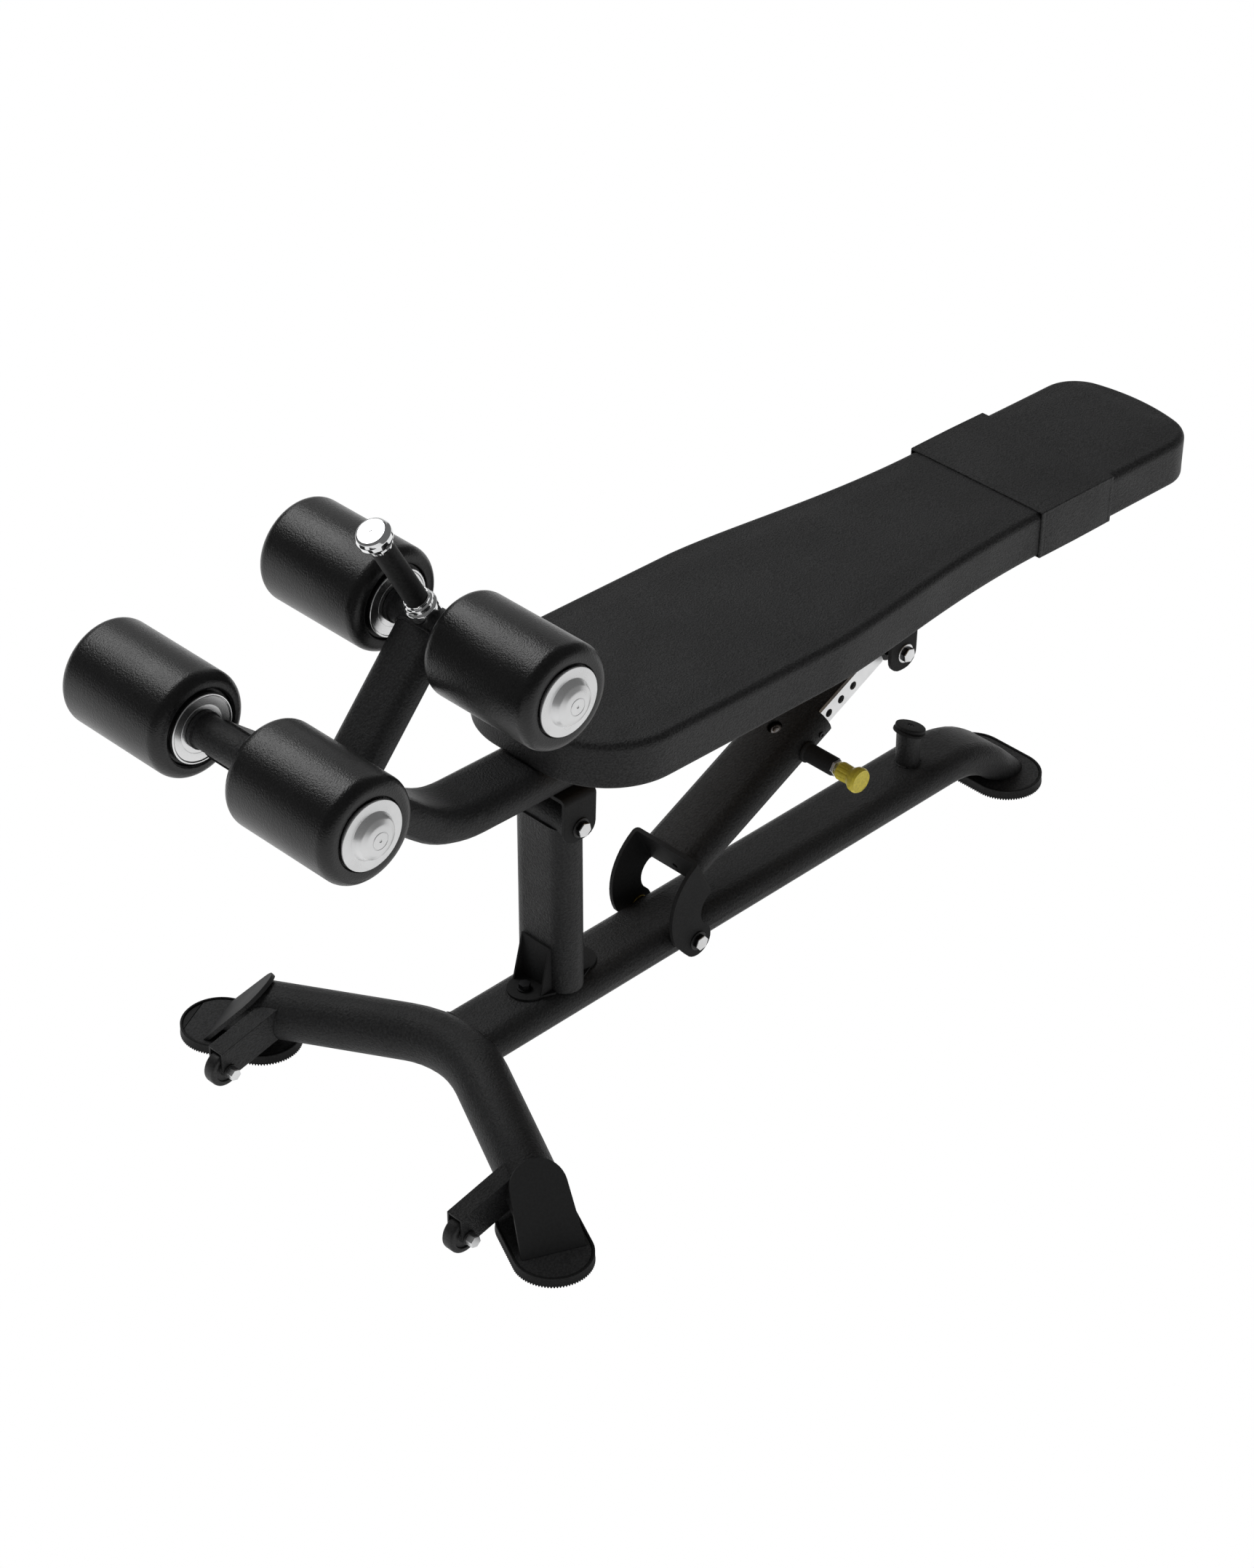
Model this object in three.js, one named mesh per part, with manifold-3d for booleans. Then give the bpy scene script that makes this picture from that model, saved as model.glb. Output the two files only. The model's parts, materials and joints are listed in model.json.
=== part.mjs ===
// Decline sit up bench: a tilting bench on a floor frame, held by a telescopic strut with a pop-pin.
// Millimetres, +Z up, +X towards the head end, +Y the left side. The floor is z = 0.
import * as THREE from "three";
import { mergeVertices } from "three/addons/utils/BufferGeometryUtils.js";
import Module from "manifold-3d";

const wasm = await Module();
wasm.setup();

const RAD = Math.PI / 180;

// The front post stands at x = 0 of the frame below; this moves the part onto the middle of its footprint.
const FOOTPRINT_MIDDLE = 295.105;

// Clearance between neighbouring pieces, and the wall of the tubes.
const GAP = 0.3;
const WALL = 3;

// Flat-oval tube used for the spine, the front post, the strut and the bench beam.
const BEAM_WIDTH = 100;
const BEAM_HEIGHT = 50;

// Bolts.
const SHANK = 6;
const WASHER = { radius: 14, thickness: 2.5 };
const HEX = { radius: 11, thickness: 7.5 };

// Spine.
const SPINE_AXIS = 80;
const SPINE_TOP = SPINE_AXIS + BEAM_HEIGHT / 2;
const SPINE_FRONT = -176;
const SPINE_BEND = { x: 812, radius: 150, dip: 45.5 * RAD, reach: 135 };

// Feet: a rubber cup with a steel plate set into it.
const FOOT = { length: 170, width: 106, height: 15.5, floor: 6, rim: 4 };
const PLATE_TOP = 14;
const TREAD = { pitch: 11, width: 3.5, depth: 2.5 };
const REAR_FOOT_X = 877;

// V-shaped front leg.
const LEG = {
  radius: 38.2,
  x: -159.2,
  z: 82.6,
  spread: 64.8 * RAD,
  tilt: 12.06 * RAD,
  heading: 65.3 * RAD,
  bend: 165,
  reach: 395,
};
const LEG_CAP = { at: 357, slope: 48.5 * RAD, width: 86, length: 119, crown: 38, thickness: 6 };
const FRONT_FOOT_REACH = 322.5;

// Transport wheels in channel brackets.
const WHEEL = { x: -377.5, y: 230, z: 31.5, radius: 26, width: 18.6 };
const CHANNEL = { width: 27, wall: 3, front: -388.5, back: -270, top: 64.5, bottom: 16, slope: 12 * RAD };
const AXLE = { radius: 4, washer: 10, hex: 8.6 };

// Front post and the tilt pivot on top of it.
const PIVOT_Z = 374.5;
const POST_TOP = 370;
const PIVOT_SLEEVE = 22;
const POST_BRACKET = { half: 27, top: 176, plate: 2.7, foot: 46, nose: 72, step: 3 };

// Bumper under the bench.
const BUMPER = { x: 697, radius: 17.5, seat: 153, flange: 23.5, crown: 21, top: 165.5, slope: 18.5 * RAD };

// Strut: swings on the spine, its frame lies along the tube.
const STRUT_PIVOT = { x: 214, z: 79 };
const STRUT_ANGLE = 25.62 * RAD;
const STRUT = { axis: 84.4, start: 57.8, end: 332.4 };
const YOKE = {
  half: 60, plate: 6, boss: 25, web: 57.5, webLow: 57, top: 114, crest: 26.5, belly: 2, fillet: 27.4,
};
const BUSH = { flange: 15, sleeve: 9 };
const PIN_X = 282;
const PIN = { barrel: 13.3, ring: 15.5, start: 50.3, end: 100, rod: 5.5, tip: 36, nutEnd: 107, knob: 18.3 };
const SLIDER = { half: 30.5, height: 29, start: 192, end: 468, eyeX: 480.6, eyeZ: 74.6, eye: 22.5, bore: 14.8 };
const STRIP = { thickness: 4.4, height: 28, hole: 6.25, stops: [0, 64, 90, 116], end: 458 };

// Bench: its frame starts at the tilt pivot and leans head down by the rest tilt.
const REST_TILT = 1.9 * RAD;
const BEAM = { axis: 76, headEnd: 1085, bendX: -208, bend: 150 };
const END_PLUG = { cover: 3.5, depth: 22, wall: 4 };
const STRUT_LUG_X = 615.4;
const LUG = { half: 57, plate: 6, corner: 22 };
const PIVOT_LUG_DROP = 20;
const STRUT_LUG_DROP = 26;
const LOWER_TUBE = { x: -518.2, z: 326.6 };
const UPPER_TUBE = { x: -207.8, z: 371.4 };
const UPPER_POST = { x: -353.1, z: 192.9, width: 80, height: 40 };
const CROSS = { radius: 22.5, reach: 238, collar: 25, collarEnd: 56 };
const ROLLER = { radius: 70.5, inner: 58.2, outer: 240.7, edge: 17, cap: 45.6, dome: 31, button: 11 };
const HANDLE = {
  lean: 30.4 * RAD, ahead: 3.5, collar: 21.2, lip: 17.6, collarEnd: 50, grip: 15, gripEnd: 159, stem: 9.5, neck: 16,
  cap: 23, end: 189.3,
};

// Pad.
const PAD = {
  seatEnd: -58.4,
  headEnd: 1163.3,
  bottom: 102.2,
  top: 169,
  seatHalf: 157,
  headHalf: 118.6,
  taperStart: 356.6,
  taperEnd: 805,
  seatCorner: 115,
  headCorner: 62,
  headBulge: 285,
  edge: 11,
};
const BOARD = { inset: 12, low: 102.3, high: 112 };
const SLEEVE = { x: 883.6, length: 151, thickness: 2.2, opening: 56 };

const POWDER_COAT = { color: 0x1d1e1f, roughness: 0.62, metalness: 0.1 };
const RUBBER = { color: 0x161616, roughness: 0.85, metalness: 0 };
const VINYL = { color: 0x1a1a1b, roughness: 0.5, metalness: 0 };
const SLEEVE_VINYL = { color: 0x202021, roughness: 0.48, metalness: 0 };
const WOOD = { color: 0x7a5c3a, roughness: 0.75, metalness: 0 };
const CHROME = { color: 0xc9ccd0, roughness: 0.18, metalness: 1 };
const SATIN_CAP = { color: 0xc4c6c8, roughness: 0.35, metalness: 0.9 };
const ZINC = { color: 0xb9bcbe, roughness: 0.4, metalness: 0.9 };
const DARK_BOLT = { color: 0x2a2a2b, roughness: 0.45, metalness: 0.7 };
const YELLOW = { color: 0xc9b83a, roughness: 0.4, metalness: 0 };
const BRONZE = { color: 0xb59a3e, roughness: 0.45, metalness: 0.6 };
const BLACK_PLASTIC = { color: 0x171718, roughness: 0.5, metalness: 0 };

// ---- Helpers: outlines ----

// Points along an arc, both ends included.
function arc(x, y, radius, from, to, pieces) {
  const points = [];
  for (let i = 0; i <= pieces; i += 1) {
    const angle = from + ((to - from) * i) / pieces;
    points.push(new THREE.Vector2(x + radius * Math.cos(angle), y + radius * Math.sin(angle)));
  }
  return points;
}

function circle(radius, pieces = 24, x = 0, y = 0) {
  return arc(x, y, radius, 0, 2 * Math.PI, pieces).slice(1);
}

function stadium(width, height, pieces = 8) {
  const reach = (width - height) / 2;
  return [
    ...arc(reach, 0, height / 2, -Math.PI / 2, Math.PI / 2, pieces),
    ...arc(-reach, 0, height / 2, Math.PI / 2, 1.5 * Math.PI, pieces),
  ];
}

// A closed outline through corners given as [x, y, rounding radius].
function rounded(corners, pieces = 5) {
  const points = [];
  corners.forEach(([x, y, radius], i) => {
    const at = new THREE.Vector2(x, y);
    if (!radius) {
      points.push(at);
      return;
    }
    const [bx, by] = corners.at(i - 1);
    const [ax, ay] = corners[(i + 1) % corners.length];
    const before = new THREE.Vector2(bx, by).sub(at).normalize();
    const after = new THREE.Vector2(ax, ay).sub(at).normalize();
    const half = Math.acos(before.dot(after)) / 2;
    const middle = before.clone().add(after).normalize().multiplyScalar(radius / Math.sin(half)).add(at);
    const start = before.multiplyScalar(radius / Math.tan(half)).add(at).sub(middle);
    const end = after.multiplyScalar(radius / Math.tan(half)).add(at).sub(middle);
    const turn = Math.atan2(start.cross(end), start.dot(end));
    points.push(...arc(middle.x, middle.y, radius, start.angle(), start.angle() + turn, pieces));
  });
  return points;
}

// ---- Helpers: bodies ----

// A prism over an outline in x and y, from z = 0 up to the depth; holes are outlines too.
function prism(outline, depth, holes = []) {
  const shape = new THREE.Shape(outline);
  shape.holes = holes.map((hole) => new THREE.Path(hole));
  return new THREE.ExtrudeGeometry(shape, { depth, bevelEnabled: false });
}

// A prism over an outline in x and z, between two values of y.
function sidePrism(outline, from, to, holes = []) {
  return prism(outline, to - from, holes).rotateX(Math.PI / 2).translate(0, to, 0);
}

// A body turned about the y axis from a profile of [radius, y], listed with y rising.
function turned(profile, pieces = 24) {
  return new THREE.LatheGeometry(profile.map(([radius, y]) => new THREE.Vector2(radius, y)), pieces);
}

function block(xLow, xHigh, yLow, yHigh, zLow, zHigh) {
  return new THREE.BoxGeometry(xHigh - xLow, yHigh - yLow, zHigh - zLow)
    .translate((xLow + xHigh) / 2, (yLow + yHigh) / 2, (zLow + zHigh) / 2);
}

// A curve given by its stations; its sections keep their x along y.
class Route extends THREE.Curve {
  constructor(stations) {
    super();
    this.stations = stations;
  }

  getPointAt(u, target = new THREE.Vector3()) {
    return target.copy(this.stations[Math.round(u * (this.stations.length - 1))].point);
  }

  computeFrenetFrames() {
    const tangents = this.stations.map((station) => station.tangent);
    const normals = tangents.map(() => new THREE.Vector3(0, 1, 0));
    const binormals = tangents.map((tangent, i) => new THREE.Vector3().crossVectors(tangent, normals[i]));
    return { tangents, normals, binormals };
  }
}

// A section swept through corners [x, z, bend radius] in the xz plane.
function swept(outline, holes, corners, pieces = 8) {
  const stations = [];
  const station = (point, direction) => stations.push({
    point: new THREE.Vector3(point.x, 0, point.y),
    tangent: new THREE.Vector3(direction.x, 0, direction.y),
  });
  const points = corners.map(([x, z]) => new THREE.Vector2(x, z));
  const runs = points.slice(1).map((point, i) => point.clone().sub(points[i]).normalize());
  station(points[0], runs[0]);
  for (let i = 1; i < runs.length; i += 1) {
    const turn = Math.atan2(runs[i - 1].cross(runs[i]), runs[i - 1].dot(runs[i]));
    const radius = corners[i][2] * Math.sign(turn);
    const back = corners[i][2] * Math.tan(Math.abs(turn) / 2);
    const start = points[i].clone().addScaledVector(runs[i - 1], -back);
    const side = new THREE.Vector2(-runs[i - 1].y, runs[i - 1].x);
    const middle = start.clone().addScaledVector(side, radius);
    for (let j = 0; j <= pieces; j += 1) {
      const angle = (turn * j) / pieces;
      const arm = side.clone().rotateAround(new THREE.Vector2(), angle);
      const run = runs[i - 1].clone().rotateAround(new THREE.Vector2(), angle);
      station(middle.clone().addScaledVector(arm, -radius), run);
    }
  }
  station(points.at(-1), runs.at(-1));
  const shape = new THREE.Shape(outline);
  shape.holes = holes.map((hole) => new THREE.Path(hole));
  return new THREE.ExtrudeGeometry(shape, {
    steps: stations.length - 1,
    bevelEnabled: false,
    extrudePath: new Route(stations),
  });
}

// A hollow flat-oval tube through corners.
function ovalTube(width, height, corners) {
  return swept(stadium(width, height), [stadium(width - 2 * WALL, height - 2 * WALL)], corners);
}

// ---- Helpers: joins and cuts ----

function solid(geometry) {
  const bare = geometry.clone();
  bare.deleteAttribute("normal");
  bare.deleteAttribute("uv");
  const welded = mergeVertices(bare, 1e-3);
  return new wasm.Manifold(new wasm.Mesh({
    numProp: 3,
    vertProperties: new Float32Array(welded.attributes.position.array),
    triVerts: new Uint32Array(welded.index.array),
  }));
}

function geometryOf(body) {
  const mesh = body.getMesh();
  const geometry = new THREE.BufferGeometry();
  geometry.setAttribute("position", new THREE.BufferAttribute(mesh.vertProperties, 3));
  geometry.setIndex(new THREE.BufferAttribute(mesh.triVerts, 1));
  geometry.computeVertexNormals();
  return geometry;
}

function joined(...geometries) {
  return geometryOf(geometries.map(solid).reduce((sum, body) => sum.add(body)));
}

function cut(base, ...tools) {
  return geometryOf(tools.map(solid).reduce((rest, tool) => rest.subtract(tool), solid(base)));
}

function shared(first, second) {
  return geometryOf(solid(first).intersect(solid(second)));
}

// A rod along y between two values of y.
function rod(radius, from, to, pieces = 24) {
  return new THREE.CylinderGeometry(radius, radius, to - from, pieces).translate(0, (from + to) / 2, 0);
}

// A bolt along y whose washers press on faces at the two ends; the head points to -y.
function throughBolt(from, to) {
  const headEnd = from - WASHER.thickness - HEX.thickness;
  const nutEnd = to + WASHER.thickness + HEX.thickness;
  return joined(
    rod(SHANK, headEnd + 1, nutEnd + 3, 16),
    rod(WASHER.radius, from - WASHER.thickness, from - GAP, 20),
    rod(WASHER.radius, to + GAP, to + WASHER.thickness, 20),
    rod(HEX.radius, headEnd, from - WASHER.thickness + 0.5, 6),
    rod(HEX.radius, to + WASHER.thickness - 0.5, nutEnd, 6),
  );
}

function piece(parent, name, geometry, finish) {
  const mesh = new THREE.Mesh(geometry, new THREE.MeshStandardMaterial(finish));
  mesh.name = name;
  parent.add(mesh);
}

const group = new THREE.Group();
group.name = "decline_sit_up_bench";
const frame = new THREE.Group();
frame.name = "frame";
frame.position.x = -FOOTPRINT_MIDDLE;
group.add(frame);

const SIDES = [["left", 1], ["right", -1]];

// ---- Floor frame ----

const base = new THREE.Group();
base.name = "base";
frame.add(base);

// The V leg, swept flat and leaned forwards.
function leg(radius, holes) {
  const arm = new THREE.Vector2(-Math.cos(LEG.spread), Math.sin(LEG.spread)).multiplyScalar(LEG.reach);
  return swept(circle(radius), holes, [[arm.x, -arm.y], [0, 0, LEG.bend], [arm.x, arm.y]])
    .rotateX(-Math.PI / 2)
    .rotateY(-LEG.tilt)
    .translate(LEG.x, 0, LEG.z);
}

// Moves a body from the frame of one arm of the V leg, whose x runs out along the arm.
function ontoArm(geometry, side) {
  return geometry.rotateZ(side * (Math.PI - LEG.heading)).translate(LEG.x, 0, LEG.z);
}

function slantedCap() {
  const { width, length, crown } = LEG_CAP;
  const flare = Math.asin((width / 2 - crown) / (length - crown));
  const outline = [
    new THREE.Vector2(-6, -width / 2),
    ...arc(length - crown, 0, crown, flare - Math.PI / 2, Math.PI / 2 - flare, 18),
    new THREE.Vector2(-6, width / 2),
  ];
  return prism(outline, LEG_CAP.thickness);
}

// Moves a body from the frame of a slanted cap, whose x runs up the cap and whose z points inwards.
function ontoCap(geometry, side) {
  const placed = geometry.rotateY(LEG_CAP.slope - Math.PI).translate(LEG_CAP.at, 0, 16 - LEG.z);
  return ontoArm(placed, side);
}

const belowPlates = block(-600, 1000, -500, 500, -60, PLATE_TOP + GAP);
const legBody = leg(LEG.radius, [circle(LEG.radius - WALL)]);
const legTrimmed = cut(
  legBody,
  ...SIDES.map(([, side]) => ontoCap(block(-60, 240, -90, 90, -90, LEG_CAP.thickness / 2), side)),
);
const legCapped = joined(legTrimmed, ...SIDES.map(([, side]) => ontoCap(slantedCap(), side)));
const drainHole = new THREE.CylinderGeometry(4, 4, 40, 16).rotateX(Math.PI / 2)
  .translate(LEG.x - 18, 0, LEG.z - LEG.radius);
piece(base, "front_leg_tube", cut(legCapped, belowPlates, drainHole), POWDER_COAT);

const legRoom = leg(LEG.radius + GAP, []);
const rearEnd = [
  SPINE_BEND.x + SPINE_BEND.reach * Math.cos(SPINE_BEND.dip),
  SPINE_AXIS - SPINE_BEND.reach * Math.sin(SPINE_BEND.dip),
];
const spine = ovalTube(BEAM_WIDTH, BEAM_HEIGHT, [
  [SPINE_FRONT, SPINE_AXIS],
  [SPINE_BEND.x, SPINE_AXIS, SPINE_BEND.radius],
  rearEnd,
]);
const strutPivotHole = rod(SHANK + GAP, -70, 70, 16).translate(STRUT_PIVOT.x, 0, STRUT_PIVOT.z);
piece(base, "spine_tube", cut(spine, legRoom, belowPlates, strutPivotHole), POWDER_COAT);

// A foot lies with its length along x before it is turned by its heading.
function footPlate(x, y, heading) {
  const inset = 2 * (FOOT.rim + GAP);
  return prism(stadium(FOOT.length - inset, FOOT.width - inset, 12), PLATE_TOP - FOOT.floor - GAP)
    .rotateZ(heading)
    .translate(x, y, FOOT.floor + GAP);
}

function footSole(x, y, heading) {
  const cup = prism(stadium(FOOT.length, FOOT.width, 12), FOOT.height);
  const recess = prism(stadium(FOOT.length - 2 * FOOT.rim, FOOT.width - 2 * FOOT.rim, 12), FOOT.height)
    .translate(0, 0, FOOT.floor);
  const grooves = [];
  for (let offset = -7 * TREAD.pitch; offset <= 7 * TREAD.pitch; offset += TREAD.pitch) {
    grooves.push(block(offset - TREAD.width / 2, offset + TREAD.width / 2, -60, 60, -1, TREAD.depth));
  }
  return cut(cup, recess, ...grooves).rotateZ(heading).translate(x, y, 0);
}

const footX = LEG.x - FRONT_FOOT_REACH * Math.cos(LEG.heading);
const footY = FRONT_FOOT_REACH * Math.sin(LEG.heading);
for (const [name, side] of SIDES) {
  const heading = side * (Math.PI - LEG.heading);
  piece(base, `foot_plate_${name}`, footPlate(footX, side * footY, heading), POWDER_COAT);
  piece(base, `foot_sole_${name}`, footSole(footX, side * footY, heading), RUBBER);
}
piece(base, "foot_plate_rear", footPlate(REAR_FOOT_X, 0, Math.PI / 2), POWDER_COAT);
piece(base, "foot_sole_rear", footSole(REAR_FOOT_X, 0, Math.PI / 2), RUBBER);

// Wheel brackets: channels open at the front and below, coped onto the V leg.
const rise = (CHANNEL.back - CHANNEL.front) * Math.tan(CHANNEL.slope);
const channelOutline = (roof, spill) => rounded([
  [CHANNEL.front - spill, CHANNEL.top - roof - spill * Math.tan(CHANNEL.slope), 0],
  [CHANNEL.front - spill, CHANNEL.bottom - spill, spill ? 0 : 14],
  [CHANNEL.back + spill, CHANNEL.bottom - spill + rise, 0],
  [CHANNEL.back + spill, CHANNEL.top - roof + rise + spill * Math.tan(CHANNEL.slope), 0],
]);
const sideHalf = CHANNEL.width / 2;
for (const [name, side] of SIDES) {
  const outer = sidePrism(channelOutline(0, 0), -sideHalf, sideHalf).translate(0, side * WHEEL.y, 0);
  const inner = sidePrism(channelOutline(CHANNEL.wall, 20), -sideHalf + CHANNEL.wall, sideHalf - CHANNEL.wall)
    .translate(0, side * WHEEL.y, 0);
  const axleHole = rod(AXLE.radius + GAP, -20, 20, 12).translate(WHEEL.x, side * WHEEL.y, WHEEL.z);
  piece(base, `wheel_bracket_${name}`, cut(outer, inner, axleHole, legRoom), POWDER_COAT);
  const axle = joined(
    rod(AXLE.radius, -sideHalf - 13, sideHalf + 13, 12),
    rod(AXLE.washer, -sideHalf - 2, -sideHalf - GAP, 16),
    rod(AXLE.washer, sideHalf + GAP, sideHalf + 2, 16),
    rod(AXLE.hex, -sideHalf - 13.5, -sideHalf - 1.5, 6),
    rod(AXLE.hex, sideHalf + 1.5, sideHalf + 13.5, 6),
  );
  piece(base, `wheel_bolt_${name}`, axle.translate(WHEEL.x, side * WHEEL.y, WHEEL.z), ZINC);
}

// Front post with the pivot sleeve welded across its top.
const pivotBore = rod(SHANK + GAP, -60, 60, 16).translate(0, 0, PIVOT_Z);
const postTube = prism(stadium(BEAM_WIDTH, BEAM_HEIGHT), POST_TOP - SPINE_TOP - GAP, [
  stadium(BEAM_WIDTH - 2 * WALL, BEAM_HEIGHT - 2 * WALL),
]).rotateZ(Math.PI / 2).translate(0, 0, SPINE_TOP + GAP);
const pivotSleeve = rod(PIVOT_SLEEVE, -50.2, 50.2, 28).translate(0, 0, PIVOT_Z);
piece(base, "front_post", cut(joined(postTube, pivotSleeve), pivotBore), POWDER_COAT);
piece(base, "pivot_bolt", throughBolt(-LUG.half, LUG.half).translate(0, 0, PIVOT_Z), ZINC);

// Post brackets: a gusseted foot with a half-round nose, bolted to the spine.
function postBracket() {
  const { half, top, plate, foot, nose, step } = POST_BRACKET;
  const back = BEAM_HEIGHT / 2 + GAP;
  const low = SPINE_TOP + GAP;
  const gusset = rounded([[back, low, 0], [foot, low, 0], [back + plate, top, 0], [back, top, 0]]);
  const footOutline = [
    new THREE.Vector2(back, -half - 8),
    ...arc(nose - half, 0, half, -Math.PI / 2, Math.PI / 2, 14),
    new THREE.Vector2(back, half + 8),
  ];
  return joined(
    block(back, back + plate, -half, half, low, top),
    sidePrism(gusset, -half, -half + plate),
    sidePrism(gusset, half - plate, half),
    prism(footOutline, step).translate(0, 0, low),
  );
}

function upright(geometry, x) {
  return geometry.rotateX(Math.PI / 2).translate(x, 0, 0);
}

const bracketTop = SPINE_TOP + GAP + POST_BRACKET.step;
for (const [name, turn] of [["front", Math.PI], ["rear", 0]]) {
  const hole = upright(rod(5.3, 90, 120, 20), POST_BRACKET.foot + 3);
  const bracket = cut(postBracket(), hole);
  piece(base, `post_bracket_${name}`, bracket.rotateZ(turn), POWDER_COAT);
  const bolt = upright(joined(
    rod(10, bracketTop + GAP, bracketTop + 2.2, 24),
    rod(8.2, bracketTop + 2, bracketTop + 9, 6),
    rod(5, SPINE_TOP + GAP, bracketTop + 1, 20),
  ), POST_BRACKET.foot + 3);
  piece(base, `post_bolt_${name}`, bolt.rotateZ(turn), DARK_BOLT);
}

// Bumper.
const onSlope = (geometry) => geometry.translate(0, 0, -BUMPER.seat).rotateY(BUMPER.slope)
  .translate(0, 0, BUMPER.seat);
const bumperPost = cut(
  rod(BUMPER.radius, SPINE_TOP + GAP, BUMPER.seat + 10).rotateX(Math.PI / 2),
  onSlope(block(-60, 60, -60, 60, BUMPER.seat - GAP, BUMPER.seat + 60)),
);
piece(base, "bumper_post", bumperPost.translate(BUMPER.x, 0, 0), POWDER_COAT);
const bumperCap = turned([
  [0, BUMPER.seat],
  [BUMPER.radius + 1, BUMPER.seat],
  [BUMPER.flange, BUMPER.seat + 2.5],
  [BUMPER.flange, BUMPER.seat + 6],
  [BUMPER.crown, BUMPER.seat + 7.5],
  [BUMPER.crown, BUMPER.top - 2],
  [BUMPER.crown - 2, BUMPER.top],
  [5, BUMPER.top],
  [4, BUMPER.top - 2],
  [0, BUMPER.top - 2],
]).rotateX(Math.PI / 2);
piece(base, "bumper_cap", onSlope(bumperCap).translate(BUMPER.x, 0, 0), RUBBER);

// Strut pivot through the spine.
const strutPivotBolt = throughBolt(-YOKE.half, YOKE.half).translate(STRUT_PIVOT.x, 0, STRUT_PIVOT.z);
piece(base, "strut_pivot_bolt", strutPivotBolt, ZINC);
for (const [name, side] of SIDES) {
  const inner = BEAM_WIDTH / 2 + GAP;
  const flangeEnd = YOKE.half - YOKE.plate - GAP;
  const bush = turned([
    [SHANK + GAP, inner],
    [BUSH.flange, inner],
    [BUSH.flange, flangeEnd],
    [BUSH.sleeve, flangeEnd],
    [BUSH.sleeve, YOKE.half],
    [SHANK + GAP, YOKE.half],
    [SHANK + GAP, inner],
  ]);
  if (side < 0) bush.rotateZ(Math.PI);
  piece(base, `strut_bush_${name}`, bush.translate(STRUT_PIVOT.x, 0, STRUT_PIVOT.z), BRONZE);
}

// ---- Transport wheels ----

for (const [name, side] of SIDES) {
  const wheels = new THREE.Group();
  wheels.name = `wheel_${name}_body`;
  wheels.position.set(WHEEL.x, side * WHEEL.y, WHEEL.z);
  base.add(wheels);
  const half = WHEEL.width / 2;
  const bore = AXLE.radius + GAP;
  piece(wheels, `wheel_${name}`, turned([
    [bore, -half],
    [9, -half],
    [10, 2 - half],
    [WHEEL.radius - 6, -half],
    [WHEEL.radius - 2, -half],
    [WHEEL.radius, 2 - half],
    [WHEEL.radius, half - 2],
    [WHEEL.radius - 2, half],
    [WHEEL.radius - 6, half],
    [10, half - 2],
    [9, half],
    [bore, half],
    [bore, -half],
], 28), BLACK_PLASTIC);
}

// ---- Bench ----

const bench = new THREE.Group();
bench.name = "bench";
bench.position.z = PIVOT_Z;
bench.rotation.y = REST_TILT;
frame.add(bench);

const crossRoom = rod(CROSS.radius + GAP, -80, 80, 28);
const beam = ovalTube(BEAM_WIDTH, BEAM_HEIGHT, [
  [BEAM.headEnd, BEAM.axis],
  [BEAM.bendX, BEAM.axis, BEAM.bend],
  [LOWER_TUBE.x, LOWER_TUBE.z],
]);
const lowerRoom = crossRoom.clone().translate(LOWER_TUBE.x, 0, LOWER_TUBE.z);
piece(bench, "main_tube", cut(beam, lowerRoom), POWDER_COAT);

// Plastic plug in the open head end of the beam: a cover with a hollow spigot that fits the bore.
const spigot = (shrink) => stadium(BEAM_WIDTH - 2 * (WALL + shrink), BEAM_HEIGHT - 2 * (WALL + shrink));
const endPlug = joined(
  prism(stadium(BEAM_WIDTH, BEAM_HEIGHT), END_PLUG.cover).translate(0, 0, GAP),
  prism(spigot(GAP), END_PLUG.depth, [spigot(END_PLUG.wall)]).translate(0, 0, GAP + 0.5 - END_PLUG.depth),
).rotateZ(Math.PI / 2).rotateY(Math.PI / 2);
piece(bench, "beam_end_plug", endPlug.translate(BEAM.headEnd, 0, BEAM.axis), BLACK_PLASTIC);

// Lugs: inverted channels under the beam.
function lug(drop, back, front) {
  const high = BEAM.axis - BEAM_HEIGHT / 2 - GAP;
  const { half, plate } = LUG;
  const corner = Math.min(LUG.corner, drop - 1);
  const across = rounded([
    [-half, -drop, 0],
    [half, -drop, 0],
    [half, high, 9],
    [-half, high, 9],
  ]);
  const inside = rounded([
    [-half + plate, -drop - 10, 0],
    [half - plate, -drop - 10, 0],
    [half - plate, high - plate, 4],
    [-half + plate, high - plate, 4],
  ]);
  const side = rounded([
    [-back, -drop, corner],
    [front, -drop, corner],
    [front, high, 0],
    [-back, high, 0],
  ]);
  const channel = cut(sidePrism(across, -front, back), sidePrism(inside, -2 * front, 2 * back))
    .rotateZ(Math.PI / 2);
  const plan = sidePrism(side, -half - 1, half + 1);
  return cut(shared(channel, plan), rod(SHANK + GAP, -70, 70, 16));
}
piece(bench, "pivot_bracket", lug(PIVOT_LUG_DROP, 28, 28), POWDER_COAT);
piece(bench, "strut_bracket", lug(STRUT_LUG_DROP, 28, 24).translate(STRUT_LUG_X, 0, 0), POWDER_COAT);
piece(bench, "strut_lug_bolt", throughBolt(-LUG.half, LUG.half).translate(STRUT_LUG_X, 0, 0), ZINC);

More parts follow.
